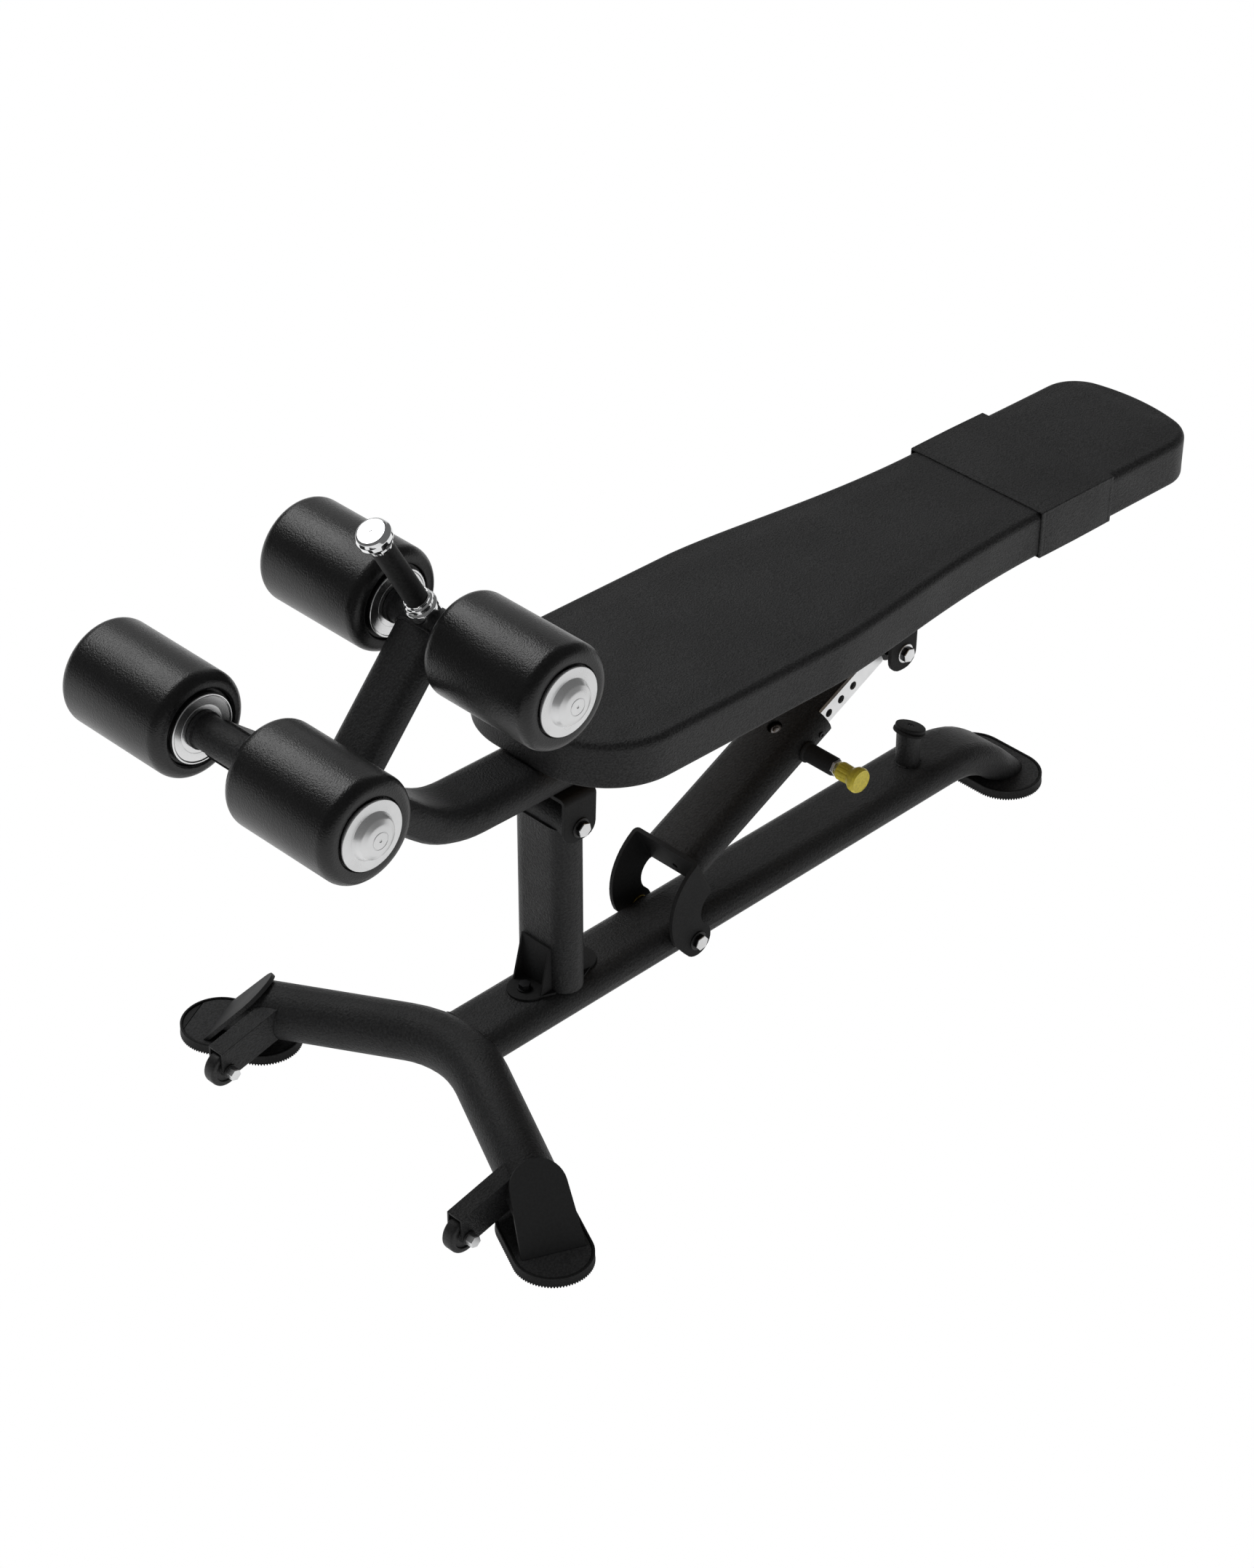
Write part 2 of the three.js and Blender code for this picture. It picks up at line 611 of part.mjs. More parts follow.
// Roller carrier: the upper post stands square on the sloping end of the beam.
const upperRoom = crossRoom.clone().translate(UPPER_TUBE.x, 0, UPPER_TUBE.z);
const beamRoom = swept(stadium(BEAM_WIDTH + 2 * GAP, BEAM_HEIGHT + 2 * GAP), [], [
  [BEAM.bendX, BEAM.axis],
  [LOWER_TUBE.x, LOWER_TUBE.z],
]);
const upperPost = ovalTube(UPPER_POST.width, UPPER_POST.height, [
  [UPPER_POST.x, UPPER_POST.z],
  [UPPER_TUBE.x, UPPER_TUBE.z],
]);
piece(bench, "upper_post", cut(upperPost, beamRoom, upperRoom), POWDER_COAT);

for (const [name, at] of [["lower", LOWER_TUBE], ["upper", UPPER_TUBE]]) {
  const { radius, reach, collar, collarEnd } = CROSS;
  const collarStart = collarEnd - 5.5;
  const tube = turned([
    [radius - WALL, -reach],
    [radius, -reach],
    [radius, -collarEnd],
    [collar, -collarEnd],
    [collar, -collarStart],
    [radius, -collarStart],
    [radius, collarStart],
    [collar, collarStart],
    [collar, collarEnd],
    [radius, collarEnd],
    [radius, reach],
    [radius - WALL, reach],
    [radius - WALL, -reach],
  ], 28);
  piece(bench, `${name}_cross_tube`, tube.translate(at.x, 0, at.z), POWDER_COAT);
}

// Moves a body drawn along y onto the handle, whose axis leaves the upper cross tube just ahead of its middle.
function ontoHandle(geometry) {
  return geometry.rotateX(Math.PI / 2).rotateY(-HANDLE.lean)
    .translate(UPPER_TUBE.x + HANDLE.ahead, 0, UPPER_TUBE.z);
}

const handleBore = HANDLE.stem + GAP;
const stem = ontoHandle(rod(HANDLE.stem, CROSS.radius - 6, HANDLE.gripEnd + 10, 20));
piece(bench, "handle_stem", cut(stem, upperRoom), ZINC);
const collarBody = ontoHandle(turned([
  [handleBore, 8],
  [HANDLE.collar - 1.5, 8],
  [HANDLE.collar - 1.5, 27],
  [HANDLE.collar, 29],
  [HANDLE.collar, 36],
  [HANDLE.lip, 40],
  [HANDLE.lip, HANDLE.collarEnd],
  [handleBore, HANDLE.collarEnd],
  [handleBore, 8],
]));
const upperPostRoom = swept(stadium(UPPER_POST.width + 2 * GAP, UPPER_POST.height + 2 * GAP), [], [
  [UPPER_POST.x, UPPER_POST.z],
  [UPPER_TUBE.x, UPPER_TUBE.z],
]);
piece(bench, "handle_collar", cut(collarBody, upperRoom, upperPostRoom), CHROME);
piece(bench, "handle_grip", ontoHandle(turned([
  [handleBore, HANDLE.collarEnd + GAP],
  [HANDLE.grip, HANDLE.collarEnd + GAP],
  [HANDLE.grip, HANDLE.gripEnd - 2],
  [HANDLE.grip - 2, HANDLE.gripEnd],
  [handleBore, HANDLE.gripEnd],
  [handleBore, HANDLE.collarEnd + GAP],
])), BLACK_PLASTIC);
piece(bench, "handle_cap", ontoHandle(turned([
  [handleBore, HANDLE.gripEnd + GAP],
  [HANDLE.neck, HANDLE.gripEnd + GAP],
  [HANDLE.neck, HANDLE.gripEnd + 8],
  [HANDLE.neck - 1.5, HANDLE.gripEnd + 9],
  [HANDLE.cap - 3, HANDLE.gripEnd + 12],
  [HANDLE.cap, HANDLE.gripEnd + 16],
  [HANDLE.cap, HANDLE.end - 7],
  [HANDLE.cap - 2, HANDLE.end - 2.5],
  [HANDLE.cap - 5, HANDLE.end],
  [0, HANDLE.end],
  [0, HANDLE.gripEnd + 10 + GAP],
  [handleBore, HANDLE.gripEnd + 10 + GAP],
  [handleBore, HANDLE.gripEnd + GAP],
])), CHROME);

// Pad outline, offset inwards by the inset.
function padHalfWidth(x) {
  const along = Math.min(Math.max((x - PAD.taperStart) / (PAD.taperEnd - PAD.taperStart), 0), 1);
  const share = (1 + Math.cos(Math.PI * along ** 0.8)) / 2;
  return PAD.headHalf + (PAD.seatHalf - PAD.headHalf) * share;
}

function padOutline(inset) {
  const half = [];
  const seat = PAD.seatCorner - inset;
  const head = PAD.headCorner - inset;
  const middleX = PAD.headEnd - PAD.headBulge;
  const cornerY = PAD.headHalf - PAD.headCorner;
  const meet = Math.asin(cornerY / (PAD.headBulge - PAD.headCorner));
  const cornerX = middleX + (PAD.headBulge - PAD.headCorner) * Math.cos(meet);
  half.push(...arc(middleX, 0, PAD.headBulge - inset, meet / 8, meet, 3).slice(0, 3));
  half.push(...arc(cornerX, cornerY, head, meet, Math.PI / 2, 9));
  for (let i = 0; i < 14; i += 1) {
    const x = PAD.taperEnd + ((PAD.taperStart - PAD.taperEnd) * i) / 13;
    half.push(new THREE.Vector2(x, padHalfWidth(x) - inset));
  }
  half.push(...arc(
    PAD.seatEnd + PAD.seatCorner, PAD.seatHalf - PAD.seatCorner, seat, Math.PI / 2, Math.PI, 12,
  ));
  const mirrored = half.map((point) => new THREE.Vector2(point.x, -point.y)).reverse();
  return [...half, ...mirrored];
}

const padBlank = new THREE.ExtrudeGeometry(new THREE.Shape(padOutline(0)), {
  depth: PAD.top - PAD.bottom,
  bevelEnabled: true,
  bevelSize: PAD.edge,
  bevelThickness: PAD.edge,
  bevelOffset: -PAD.edge,
  bevelSegments: 3,
}).translate(0, 0, PAD.bottom - PAD.edge);
const padPocket = prism(padOutline(BOARD.inset), BOARD.high - PAD.bottom + 5)
  .translate(0, 0, PAD.bottom - 5);
const belowPad = block(-300, 1300, -300, 300, PAD.bottom - 40, PAD.bottom);
piece(bench, "seat_pad", cut(padBlank, belowPad, padPocket), VINYL);
const board = prism(padOutline(BOARD.inset + GAP), BOARD.high - GAP - BOARD.low);
piece(bench, "pad_board", board.translate(0, 0, BOARD.low), WOOD);

// Sleeve round the head half of the pad, open underneath where the beam passes.
function sleeveSection(offset, edge, heel) {
  const half = PAD.headHalf + offset;
  return rounded([
    [half, PAD.bottom - offset, heel],
    [half, PAD.top + offset, edge],
    [-half, PAD.top + offset, edge],
    [-half, PAD.bottom - offset, heel],
  ]);
}
const sleeveLow = SLEEVE.x - SLEEVE.length / 2;
const sleeveHigh = SLEEVE.x + SLEEVE.length / 2;
const wrap = cut(
  sidePrism(sleeveSection(GAP + SLEEVE.thickness, PAD.edge + 2, 3), sleeveLow, sleeveHigh),
  sidePrism(sleeveSection(GAP, PAD.edge, 0), sleeveLow - 5, sleeveHigh + 5),
  sidePrism(rounded([
    [-SLEEVE.opening, PAD.bottom - 10, 0],
    [SLEEVE.opening, PAD.bottom - 10, 0],
    [SLEEVE.opening, PAD.bottom + 5, 0],
    [-SLEEVE.opening, PAD.bottom + 5, 0],
  ]), sleeveLow - 5, sleeveHigh + 5),
).rotateZ(-Math.PI / 2);
piece(bench, "pad_sleeve", wrap, SLEEVE_VINYL);

// ---- Rollers ----

for (const [level, at] of [["lower", LOWER_TUBE], ["upper", UPPER_TUBE]]) {
  for (const [name, side] of SIDES) {
    const roller = new THREE.Group();
    roller.name = `roller_${level}_${name}`;
    roller.position.set(at.x, 0, at.z);
    if (side < 0) roller.rotation.z = Math.PI;
    bench.add(roller);
    const { radius, inner, outer, edge, cap, dome, button } = ROLLER;
    const bore = CROSS.radius + GAP;
    const rim = (y, from, to) => arc(radius - edge, y, edge, from, to, 3).map((p) => [p.x, p.y]);
    piece(roller, `roller_foam_${level}_${name}`, turned([
      [bore, inner],
      ...rim(inner + edge, -Math.PI / 2, 0),
      ...rim(outer - edge, 0, Math.PI / 2),
      [bore, outer],
      [bore, inner],
    ], 36), VINYL);
    piece(roller, `roller_cap_${level}_${name}`, turned([
      [0, outer + GAP],
      [cap, outer + GAP],
      [cap, outer + 2.4],
      [cap - 1, outer + 3.6],
      [dome, outer + 3.6],
      [dome - 3.5, outer + 7.6],
      [dome - 9, outer + 12.4],
      [dome - 15, outer + 15.6],
      [button, outer + 17.1],
      [0, outer + 17.1],
    ], 28), SATIN_CAP);
    piece(roller, `roller_disc_${level}_${name}`, turned([
      [bore, inner - 1.9],
      [cap - 1, inner - 1.9],
      [cap, inner - 1.2],
      [cap, inner - GAP],
      [bore, inner - GAP],
      [bore, inner - 1.9],
    ], 28), SATIN_CAP);
  }
}

// ---- Strut ----

const strut = new THREE.Group();
strut.name = "strut";
strut.position.set(STRUT_PIVOT.x, 0, STRUT_PIVOT.z);
strut.rotation.y = -STRUT_ANGLE;
frame.add(strut);

const pinHole = rod(PIN.rod + GAP, -60, 0, 20).translate(PIN_X, 0, STRUT.axis);
const screwHole = new THREE.CylinderGeometry(10.5, 10.5, 20, 24).rotateX(Math.PI / 2)
  .translate(PIN_X - 1.4, 0, STRUT.axis + BEAM_HEIGHT / 2);
const strutTube = ovalTube(BEAM_WIDTH, BEAM_HEIGHT, [[STRUT.start, STRUT.axis], [STRUT.end, STRUT.axis]]);
piece(strut, "strut_tube", cut(strutTube, pinHole, screwHole), POWDER_COAT);

// Yoke: a bent plate, its arms curving down to the pivot.
const yokeSide = [
  ...arc(YOKE.web, YOKE.crest, YOKE.top - YOKE.crest, Math.PI / 2, Math.PI, 14).map(
    (p, i) => new THREE.Vector2(p.x - YOKE.belly * Math.sin((Math.PI / 28) * i), p.y),
  ),
  ...arc(0, 0, YOKE.boss, 190 * RAD, 380 * RAD, 14),
  ...arc(47.5, 22, YOKE.fillet, 205 * RAD, 84 * RAD, 8),
  new THREE.Vector2(YOKE.web, YOKE.webLow),
];
const yokePlan = rounded([
  [YOKE.web, -YOKE.half, 8],
  [YOKE.web, YOKE.half, 8],
  [-60, YOKE.half, 0],
  [-60, -YOKE.half, 0],
]);
const yokeInside = rounded([
  [YOKE.web - YOKE.plate, YOKE.plate - YOKE.half, 3],
  [YOKE.web - YOKE.plate, YOKE.half - YOKE.plate, 3],
  [-80, YOKE.half - YOKE.plate, 0],
  [-80, YOKE.plate - YOKE.half, 0],
]);
const yokeChannel = cut(prism(yokePlan, 170), prism(yokeInside, 190).translate(0, 0, -10)).translate(0, 0, -40);
const yokeBody = shared(yokeChannel, sidePrism(yokeSide, -YOKE.half - 1, YOKE.half + 1));
const bossHole = rod(BUSH.sleeve + GAP, -70, 70, 24);
const webHole = rod(4.5, 40, 80, 16).rotateZ(-Math.PI / 2).translate(0, 0, YOKE.webLow + 12);
piece(strut, "strut_yoke", cut(yokeBody, bossHole, webHole), POWDER_COAT);

// Pop-pin, drawn along y towards -y.
const pinAt = (geometry) => geometry.rotateX(Math.PI).translate(PIN_X, 0, STRUT.axis);
const pinBore = PIN.rod + GAP;
piece(strut, "pin_barrel", pinAt(turned([
  [pinBore, PIN.start],
  [PIN.ring, PIN.start],
  [PIN.ring, PIN.start + 5],
  [PIN.barrel, PIN.start + 6],
  [PIN.barrel, PIN.end],
  [PIN.barrel - 2, PIN.end + 1.5],
  [pinBore, PIN.end + 1.5],
  [pinBore, PIN.start],
])), POWDER_COAT);
piece(strut, "pin_nut", pinAt(cut(
  rod(PIN.barrel - 1, PIN.end + 1.5 + GAP, PIN.nutEnd, 6),
  rod(pinBore, PIN.end - 5, PIN.nutEnd + 5, 20),
)), ZINC);

const pin = new THREE.Group();
pin.name = "pin";
strut.add(pin);
piece(pin, "pin_plunger", pinAt(turned([
  [0, PIN.tip],
  [PIN.rod - 1.5, PIN.tip],
  [PIN.rod, PIN.tip + 2],
  [PIN.rod, PIN.nutEnd + 20],
  [0, PIN.nutEnd + 20],
], 24)), ZINC);
const rodRoom = PIN.rod + GAP;
piece(pin, "pin_knob", pinAt(turned([
  [rodRoom, PIN.nutEnd + 4],
  [11, PIN.nutEnd + 4],
  [12, PIN.nutEnd + 6],
  [11.5, PIN.nutEnd + 24],
  [PIN.knob - 2, PIN.nutEnd + 32],
  [PIN.knob, PIN.nutEnd + 36],
  [PIN.knob, PIN.nutEnd + 41],
  [PIN.knob - 2, PIN.nutEnd + 43],
  [0, PIN.nutEnd + 43],
  [0, PIN.nutEnd + 20 + GAP],
  [rodRoom, PIN.nutEnd + 20 + GAP],
  [rodRoom, PIN.nutEnd + 4],
])), YELLOW);

// ---- Telescope ----

const slider = new THREE.Group();
slider.name = "slider";
strut.add(slider);
const box = (half, high) => rounded([
  [-half, -high / 2, 3],
  [half, -high / 2, 3],
  [half, high / 2, 3],
  [-half, high / 2, 3],
], 3);
const bar = swept(
  box(SLIDER.half, SLIDER.height),
  [box(SLIDER.half - WALL, SLIDER.height - 2 * WALL)],
  [[SLIDER.start, STRUT.axis], [SLIDER.end, STRUT.axis]],
);
const eye = rod(SLIDER.eye, -SLIDER.half, SLIDER.half, 32).translate(SLIDER.eyeX, 0, SLIDER.eyeZ);
const eyeBore = rod(SLIDER.bore, -60, 60, 32).translate(SLIDER.eyeX, 0, SLIDER.eyeZ);
piece(slider, "slider_tube", cut(joined(bar, eye), eyeBore), POWDER_COAT);
const stripHalf = STRIP.height / 2;
const holes = STRIP.stops.map((stop) => circle(STRIP.hole, 16, PIN_X + stop, 0));
const strip = rounded([
  [SLIDER.start, -stripHalf, 0],
  [STRIP.end, -stripHalf, 4],
  [STRIP.end, stripHalf, 4],
  [SLIDER.start, stripHalf, 0],
]);
const stripInner = -SLIDER.half - GAP;
piece(slider, "index_strip", sidePrism(strip, stripInner - STRIP.thickness, stripInner, holes)
  .translate(0, 0, STRUT.axis), ZINC);

export default group;
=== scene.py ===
import math

import bmesh
import bpy
from mathutils import Matrix, Vector
from mathutils.bvhtree import BVHTree
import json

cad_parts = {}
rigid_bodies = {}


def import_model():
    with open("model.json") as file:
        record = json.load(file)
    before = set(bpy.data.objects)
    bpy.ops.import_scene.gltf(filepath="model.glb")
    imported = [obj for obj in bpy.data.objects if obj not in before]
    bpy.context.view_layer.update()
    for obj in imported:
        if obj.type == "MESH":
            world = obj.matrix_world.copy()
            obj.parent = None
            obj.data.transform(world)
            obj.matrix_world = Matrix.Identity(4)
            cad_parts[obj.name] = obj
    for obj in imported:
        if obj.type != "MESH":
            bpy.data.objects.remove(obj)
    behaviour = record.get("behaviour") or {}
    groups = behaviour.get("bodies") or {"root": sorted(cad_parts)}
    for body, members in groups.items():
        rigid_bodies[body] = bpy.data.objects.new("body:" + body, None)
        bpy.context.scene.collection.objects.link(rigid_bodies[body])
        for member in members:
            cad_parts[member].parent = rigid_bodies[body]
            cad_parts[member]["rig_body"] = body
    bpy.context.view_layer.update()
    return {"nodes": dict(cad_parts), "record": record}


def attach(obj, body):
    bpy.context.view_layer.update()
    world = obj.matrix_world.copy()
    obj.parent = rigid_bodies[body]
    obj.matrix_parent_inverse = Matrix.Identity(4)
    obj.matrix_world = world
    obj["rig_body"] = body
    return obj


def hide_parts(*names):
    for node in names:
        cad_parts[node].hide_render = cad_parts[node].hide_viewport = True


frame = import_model()
nodes = frame["nodes"]
body_of = {o.name: o["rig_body"] for o in nodes.values()}
slot_of = {p["node"]: p["material_slot"] for p in frame["record"]["subparts"]}
scene = bpy.context.scene

# ---- Driving dimensions, in millimetres ----

MM = 0.001
SHIFT_X = -295.105  # from the front post to the middle of the footprint
SPINE_AXIS = 80
REST_TILT = math.radians(1.9)
PIVOT_Z = 374.5
STRUT_ANGLE = math.radians(25.62)
STRUT_PIVOT = (214, 79)
STRUT_AXIS = 84.4
STRUT_END = 332.4
STRUT_LUG_X = 615.4
LOWER_TUBE = (-518.2, 326.6)
UPPER_TUBE = (-207.8, 371.4)
UPPER_POST = (-353.1, 192.9)
HANDLE_LEAN = math.radians(30.4)
HANDLE_AHEAD = 3.5
PIN_X = 282
BUMPER_X = 697
REAR_FOOT_X = 877
LEG_X = -159.2
LEG_HEADING = math.radians(65.3)
FRONT_FOOT_REACH = 322.5
WHEEL = (-377.5, 230, 31.5)
TUBE_WIDE = 100
TUBE_HIGH = 50
POST_WIDE = 80
POST_HIGH = 40
SIDES = (("left", 1), ("right", -1))

# ---- Frames: millimetres of one assembly to metres of the row ----


def place(x, z, tilt):
    """The frame of an assembly whose origin is at x and z, tilted about Y."""
    shift = Matrix.Translation(((x + SHIFT_X) * MM, 0, z * MM))
    return shift @ Matrix.Rotation(tilt, 4, "Y") @ Matrix.Scale(MM, 4)


BASE = place(0, 0, 0)
BENCH = place(0, PIVOT_Z, REST_TILT)
STRUT = place(*STRUT_PIVOT, -STRUT_ANGLE)


def moved(x, y, z):
    return Matrix.Translation((x, y, z))


def turned(degrees, axis):
    return Matrix.Rotation(math.radians(degrees), 4, axis)


# ---- Materials ----


def shader(name, base, rough, metal=0.0, level=0.5):
    """A new material, its node tree and its shader; level is the specular level."""
    material = bpy.data.materials.new(name)
    material.use_nodes = True
    tree = material.node_tree
    bsdf = tree.nodes["Principled BSDF"]
    bsdf.inputs["Base Color"].default_value = (*base, 1)
    bsdf.inputs["Roughness"].default_value = rough
    bsdf.inputs["Metallic"].default_value = metal
    bsdf.inputs["Specular IOR Level"].default_value = level
    return material, tree, bsdf


def noise(tree, scale, detail=2.0, rough=0.5):
    coords = tree.nodes.new("ShaderNodeTexCoord")
    node = tree.nodes.new("ShaderNodeTexNoise")
    node.inputs["Scale"].default_value = scale
    node.inputs["Detail"].default_value = detail
    node.inputs["Roughness"].default_value = rough
    tree.links.new(coords.outputs["Object"], node.inputs["Vector"])
    return node.outputs["Fac"]


def ramp(tree, source, low, high, start=0.35, end=0.65):
    """A noise value stretched to run from low to high."""
    node = tree.nodes.new("ShaderNodeMapRange")
    node.inputs["From Min"].default_value = start
    node.inputs["From Max"].default_value = end
    node.inputs["To Min"].default_value = low
    node.inputs["To Max"].default_value = high
    tree.links.new(source, node.inputs["Value"])
    return node.outputs["Result"]


def shade(tree, factor, base, darker, lighter):
    """The base colour between two strengths of itself."""
    node = tree.nodes.new("ShaderNodeMix")
    node.data_type = "RGBA"
    node.inputs["A"].default_value = (*(c * darker for c in base), 1)
    node.inputs["B"].default_value = (*(c * lighter for c in base), 1)
    tree.links.new(factor, node.inputs["Factor"])
    return node.outputs["Result"]


def bump(tree, bsdf, *layers):
    """Bump layers, each (height, strength, distance in metres)."""
    normal = None
    for height, strength, distance in layers:
        node = tree.nodes.new("ShaderNodeBump")
        node.inputs["Strength"].default_value = strength
        node.inputs["Distance"].default_value = distance
        tree.links.new(height, node.inputs["Height"])
        if normal:
            tree.links.new(normal, node.inputs["Normal"])
        normal = node.outputs["Normal"]
    tree.links.new(normal, bsdf.inputs["Normal"])


def powder_coat(name, base, low, high, level, depth=0.0012, tone=(0.74, 1.28)):
    """Fine-textured powder coat: an orange-peel grain, flecks and a slow mottle."""
    material, tree, bsdf = shader(name, base, 0.5, 0.0, level)
    fine = noise(tree, 780, 1.0)
    coarse = noise(tree, 330, 1.5, 0.6)
    slow = noise(tree, 18, 3.0)
    tree.links.new(shade(tree, ramp(tree, coarse, 0, 1), base, *tone), bsdf.inputs["Base Color"])
    tree.links.new(ramp(tree, slow, low, high), bsdf.inputs["Roughness"])
    bump(tree, bsdf, (coarse, 1.0, depth), (fine, 0.8, depth * 0.5))
    return material


def skin(name, base, low, high, scale, depth, level=0.4, tone=(0.5, 1.65)):
    """Vinyl, rubber or plastic: a fine grain with slow changes of gloss and tone."""
    material, tree, bsdf = shader(name, base, 0.5, 0.0, level)
    grain = noise(tree, scale, 2.0, 0.6)
    slow = noise(tree, 9, 2.0)
    tree.links.new(shade(tree, ramp(tree, grain, 0, 1), base, *tone), bsdf.inputs["Base Color"])
    tree.links.new(ramp(tree, slow, low, high), bsdf.inputs["Roughness"])
    bump(tree, bsdf, (grain, 0.6, depth), (slow, 0.2, 0.001))
    return material


def metal(name, base, low, high, scale=40, bare=1.0):
    """Metal with soft blotches of roughness; bare is the metallic share of its surface."""
    material, tree, bsdf = shader(name, base, 0.3, bare)
    slow = noise(tree, scale, 4.0)
    fine = noise(tree, 700, 1.0)
    tree.links.new(shade(tree, ramp(tree, slow, 0, 1), base, 0.9, 1.0), bsdf.inputs["Base Color"])
    tree.links.new(ramp(tree, slow, low, high), bsdf.inputs["Roughness"])
    bump(tree, bsdf, (fine, 0.12, 0.0001))
    return material


VINYL_TONE = (0.4, 1.85)
looks = {
    "black_powder_coat": powder_coat("powder_coat", (0.0285, 0.0288, 0.0293), 0.42, 0.5, 0.18),
    "black_rubber": skin("sole_rubber", (0.009, 0.009, 0.0092), 0.62, 0.78, 420, 0.0005, 0.25),
    "grip_rubber": skin("grip_rubber", (0.008, 0.008, 0.0082), 0.5, 0.62, 300, 0.0002, 0.25),
    "wheel_plastic": skin("wheel_plastic", (0.016, 0.016, 0.0163), 0.42, 0.55, 350, 0.0003, 0.35),
    "black_vinyl": skin("pad_vinyl", (0.0178, 0.0178, 0.0181), 0.5, 0.58, 400, 0.0026, 0.31, VINYL_TONE),
    "roller_vinyl": skin("roller_vinyl", (0.0068, 0.0068, 0.007), 0.27, 0.33, 420, 0.0009, 0.4),
    "sleeve_vinyl": skin(
        "sleeve_vinyl", (0.0182, 0.0182, 0.0185), 0.5, 0.58, 400, 0.0026, 0.31, VINYL_TONE,
    ),
    "plywood": skin("plywood", (0.3, 0.2, 0.11), 0.6, 0.8, 80, 0.0003),
    "zinc_steel": metal("zinc_steel", (0.86, 0.865, 0.87), 0.24, 0.36),
    "zinc_strip": metal("zinc_strip", (0.88, 0.885, 0.89), 0.3, 0.4),
    "dark_bolts": metal("dark_bolts", (0.045, 0.045, 0.047), 0.35, 0.5),
    "bronze_bush": metal("bronze_bush", (0.5, 0.38, 0.1), 0.3, 0.45),
    "chrome": metal("chrome", (0.86, 0.865, 0.87), 0.05, 0.09),
    "satin_cap": metal("satin_cap", (0.86, 0.863, 0.866), 0.25, 0.32, 25, 0.6),
    "yellow_plastic": skin(
        "yellow_plastic", (0.78, 0.645, 0.06), 0.4, 0.5, 260, 0.0001, 0.4, (0.88, 1.1),
    ),
}
plate_coat = powder_coat("plate_coat", (0.0285, 0.0288, 0.0292), 0.54, 0.62, 0.06, 0.0002, (0.9, 1.1))
# The leg caps' coat is smoother than the tube's, and its lighter base colour is painted light falling on
# the caps.
leg_cap_smooth_coat_painted_light = powder_coat(
    "leg_cap_smooth_coat_painted_light", (0.052, 0.0525, 0.053), 0.54, 0.62, 0.06, 0.0002, (0.95, 1.06),
)
# A lighter copy of the powder coat for the foot plates: painted light, standing in for light from above
# on their flat tops.
foot_coat_painted_light = powder_coat("foot_coat_painted_light", (0.045, 0.0454, 0.046), 0.46, 0.54, 0.12)
dull_steel = metal("dull_steel", (0.34, 0.34, 0.35), 0.4, 0.55)
disc_metal = metal("disc_metal", (0.84, 0.843, 0.846), 0.2, 0.27, 25)

# ---- Making pieces ----


def finish_mesh(mesh, sharp=32):
    """Welds, points the faces outwards, and keeps only real edges sharp."""
    work = bmesh.new()
    work.from_mesh(mesh)
    bmesh.ops.remove_doubles(work, verts=work.verts, dist=2e-6)
    bmesh.ops.recalc_face_normals(work, faces=work.faces)
    for face in work.faces:
        face.smooth = True
    for edge in work.edges:
        edge.smooth = len(edge.link_faces) == 2 and edge.calc_face_angle() < math.radians(sharp)
    work.to_mesh(mesh)
    work.free()


def add(name, mesh, body, slot, replaces=(), material=None):
    mesh.materials.clear()
    mesh.materials.append(material or looks[slot])
    piece = bpy.data.objects.new(name, mesh)
    scene.collection.objects.link(piece)
    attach(piece, body)
    if replaces:
        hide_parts(*replaces)
    return piece


def build(name, points, faces, matrix, body, slot, replaces=(), material=None, sharp=32):
    """A piece from points in an assembly's millimetres."""
    mesh = bpy.data.meshes.new(name)
    mesh.from_pydata([matrix @ Vector(p) for p in points], [], faces)
    finish_mesh(mesh, sharp)
    return add(name, mesh, body, slot, replaces, material)


def ease_edges(piece, width):
    bevel = piece.modifiers.new("ease", "BEVEL")
    bevel.width = width * MM
    bevel.segments = 2
    bevel.limit_method = "ANGLE"
    bevel.angle_limit = math.radians(32)
    weighted = piece.modifiers.new("shading", "WEIGHTED_NORMAL")
    weighted.keep_sharp = True
    return piece


def dress(node, ease=0.8, material=None):
    """A node's own shape with welded vertices, merged flats and eased edges."""
    mesh = nodes[node].data.copy()
    work = bmesh.new()
    work.from_mesh(mesh)
    bmesh.ops.remove_doubles(work, verts=work.verts, dist=1e-5)
    bmesh.ops.dissolve_limit(work, angle_limit=math.radians(1), verts=work.verts, edges=work.edges)
    work.to_mesh(mesh)
    work.free()
    finish_mesh(mesh)
    piece = add("v_" + node, mesh, body_of[node], slot_of[node], (node,), material)
    return ease_edges(piece, ease)


def rounded(corners, steps=5):
    """Points along corners given as (x, y, rounding radius)."""
    points = []
    for i, (x, y, radius) in enumerate(corners):
        here = Vector((x, y))
        if not radius:
            points.append(here)
            continue
        before = (Vector(corners[i - 1][:2]) - here).normalized()
        after = (Vector(corners[(i + 1) % len(corners)][:2]) - here).normalized()
        half = before.angle(after) / 2
        middle = here + (before + after).normalized() * (radius / math.sin(half))
        start = here + before * (radius / math.tan(half)) - middle
        end = here + after * (radius / math.tan(half)) - middle
        turn = math.atan2(start.cross(end), start.dot(end))
        for j in range(steps + 1):
            angle = turn * j / steps
            c, s = math.cos(angle), math.sin(angle)
            points.append(middle + Vector((start.x * c - start.y * s, start.x * s + start.y * c)))
    return points


def rings_to_faces(count, rows, closed_rows=False):
    faces = []
    for row in range(rows if closed_rows else rows - 1):
        for i in range(count):
            j = (i + 1) % count
            low = row * count
            high = ((row + 1) % rows) * count
            faces.append((low + i, low + j, high + j, high + i))
    return faces


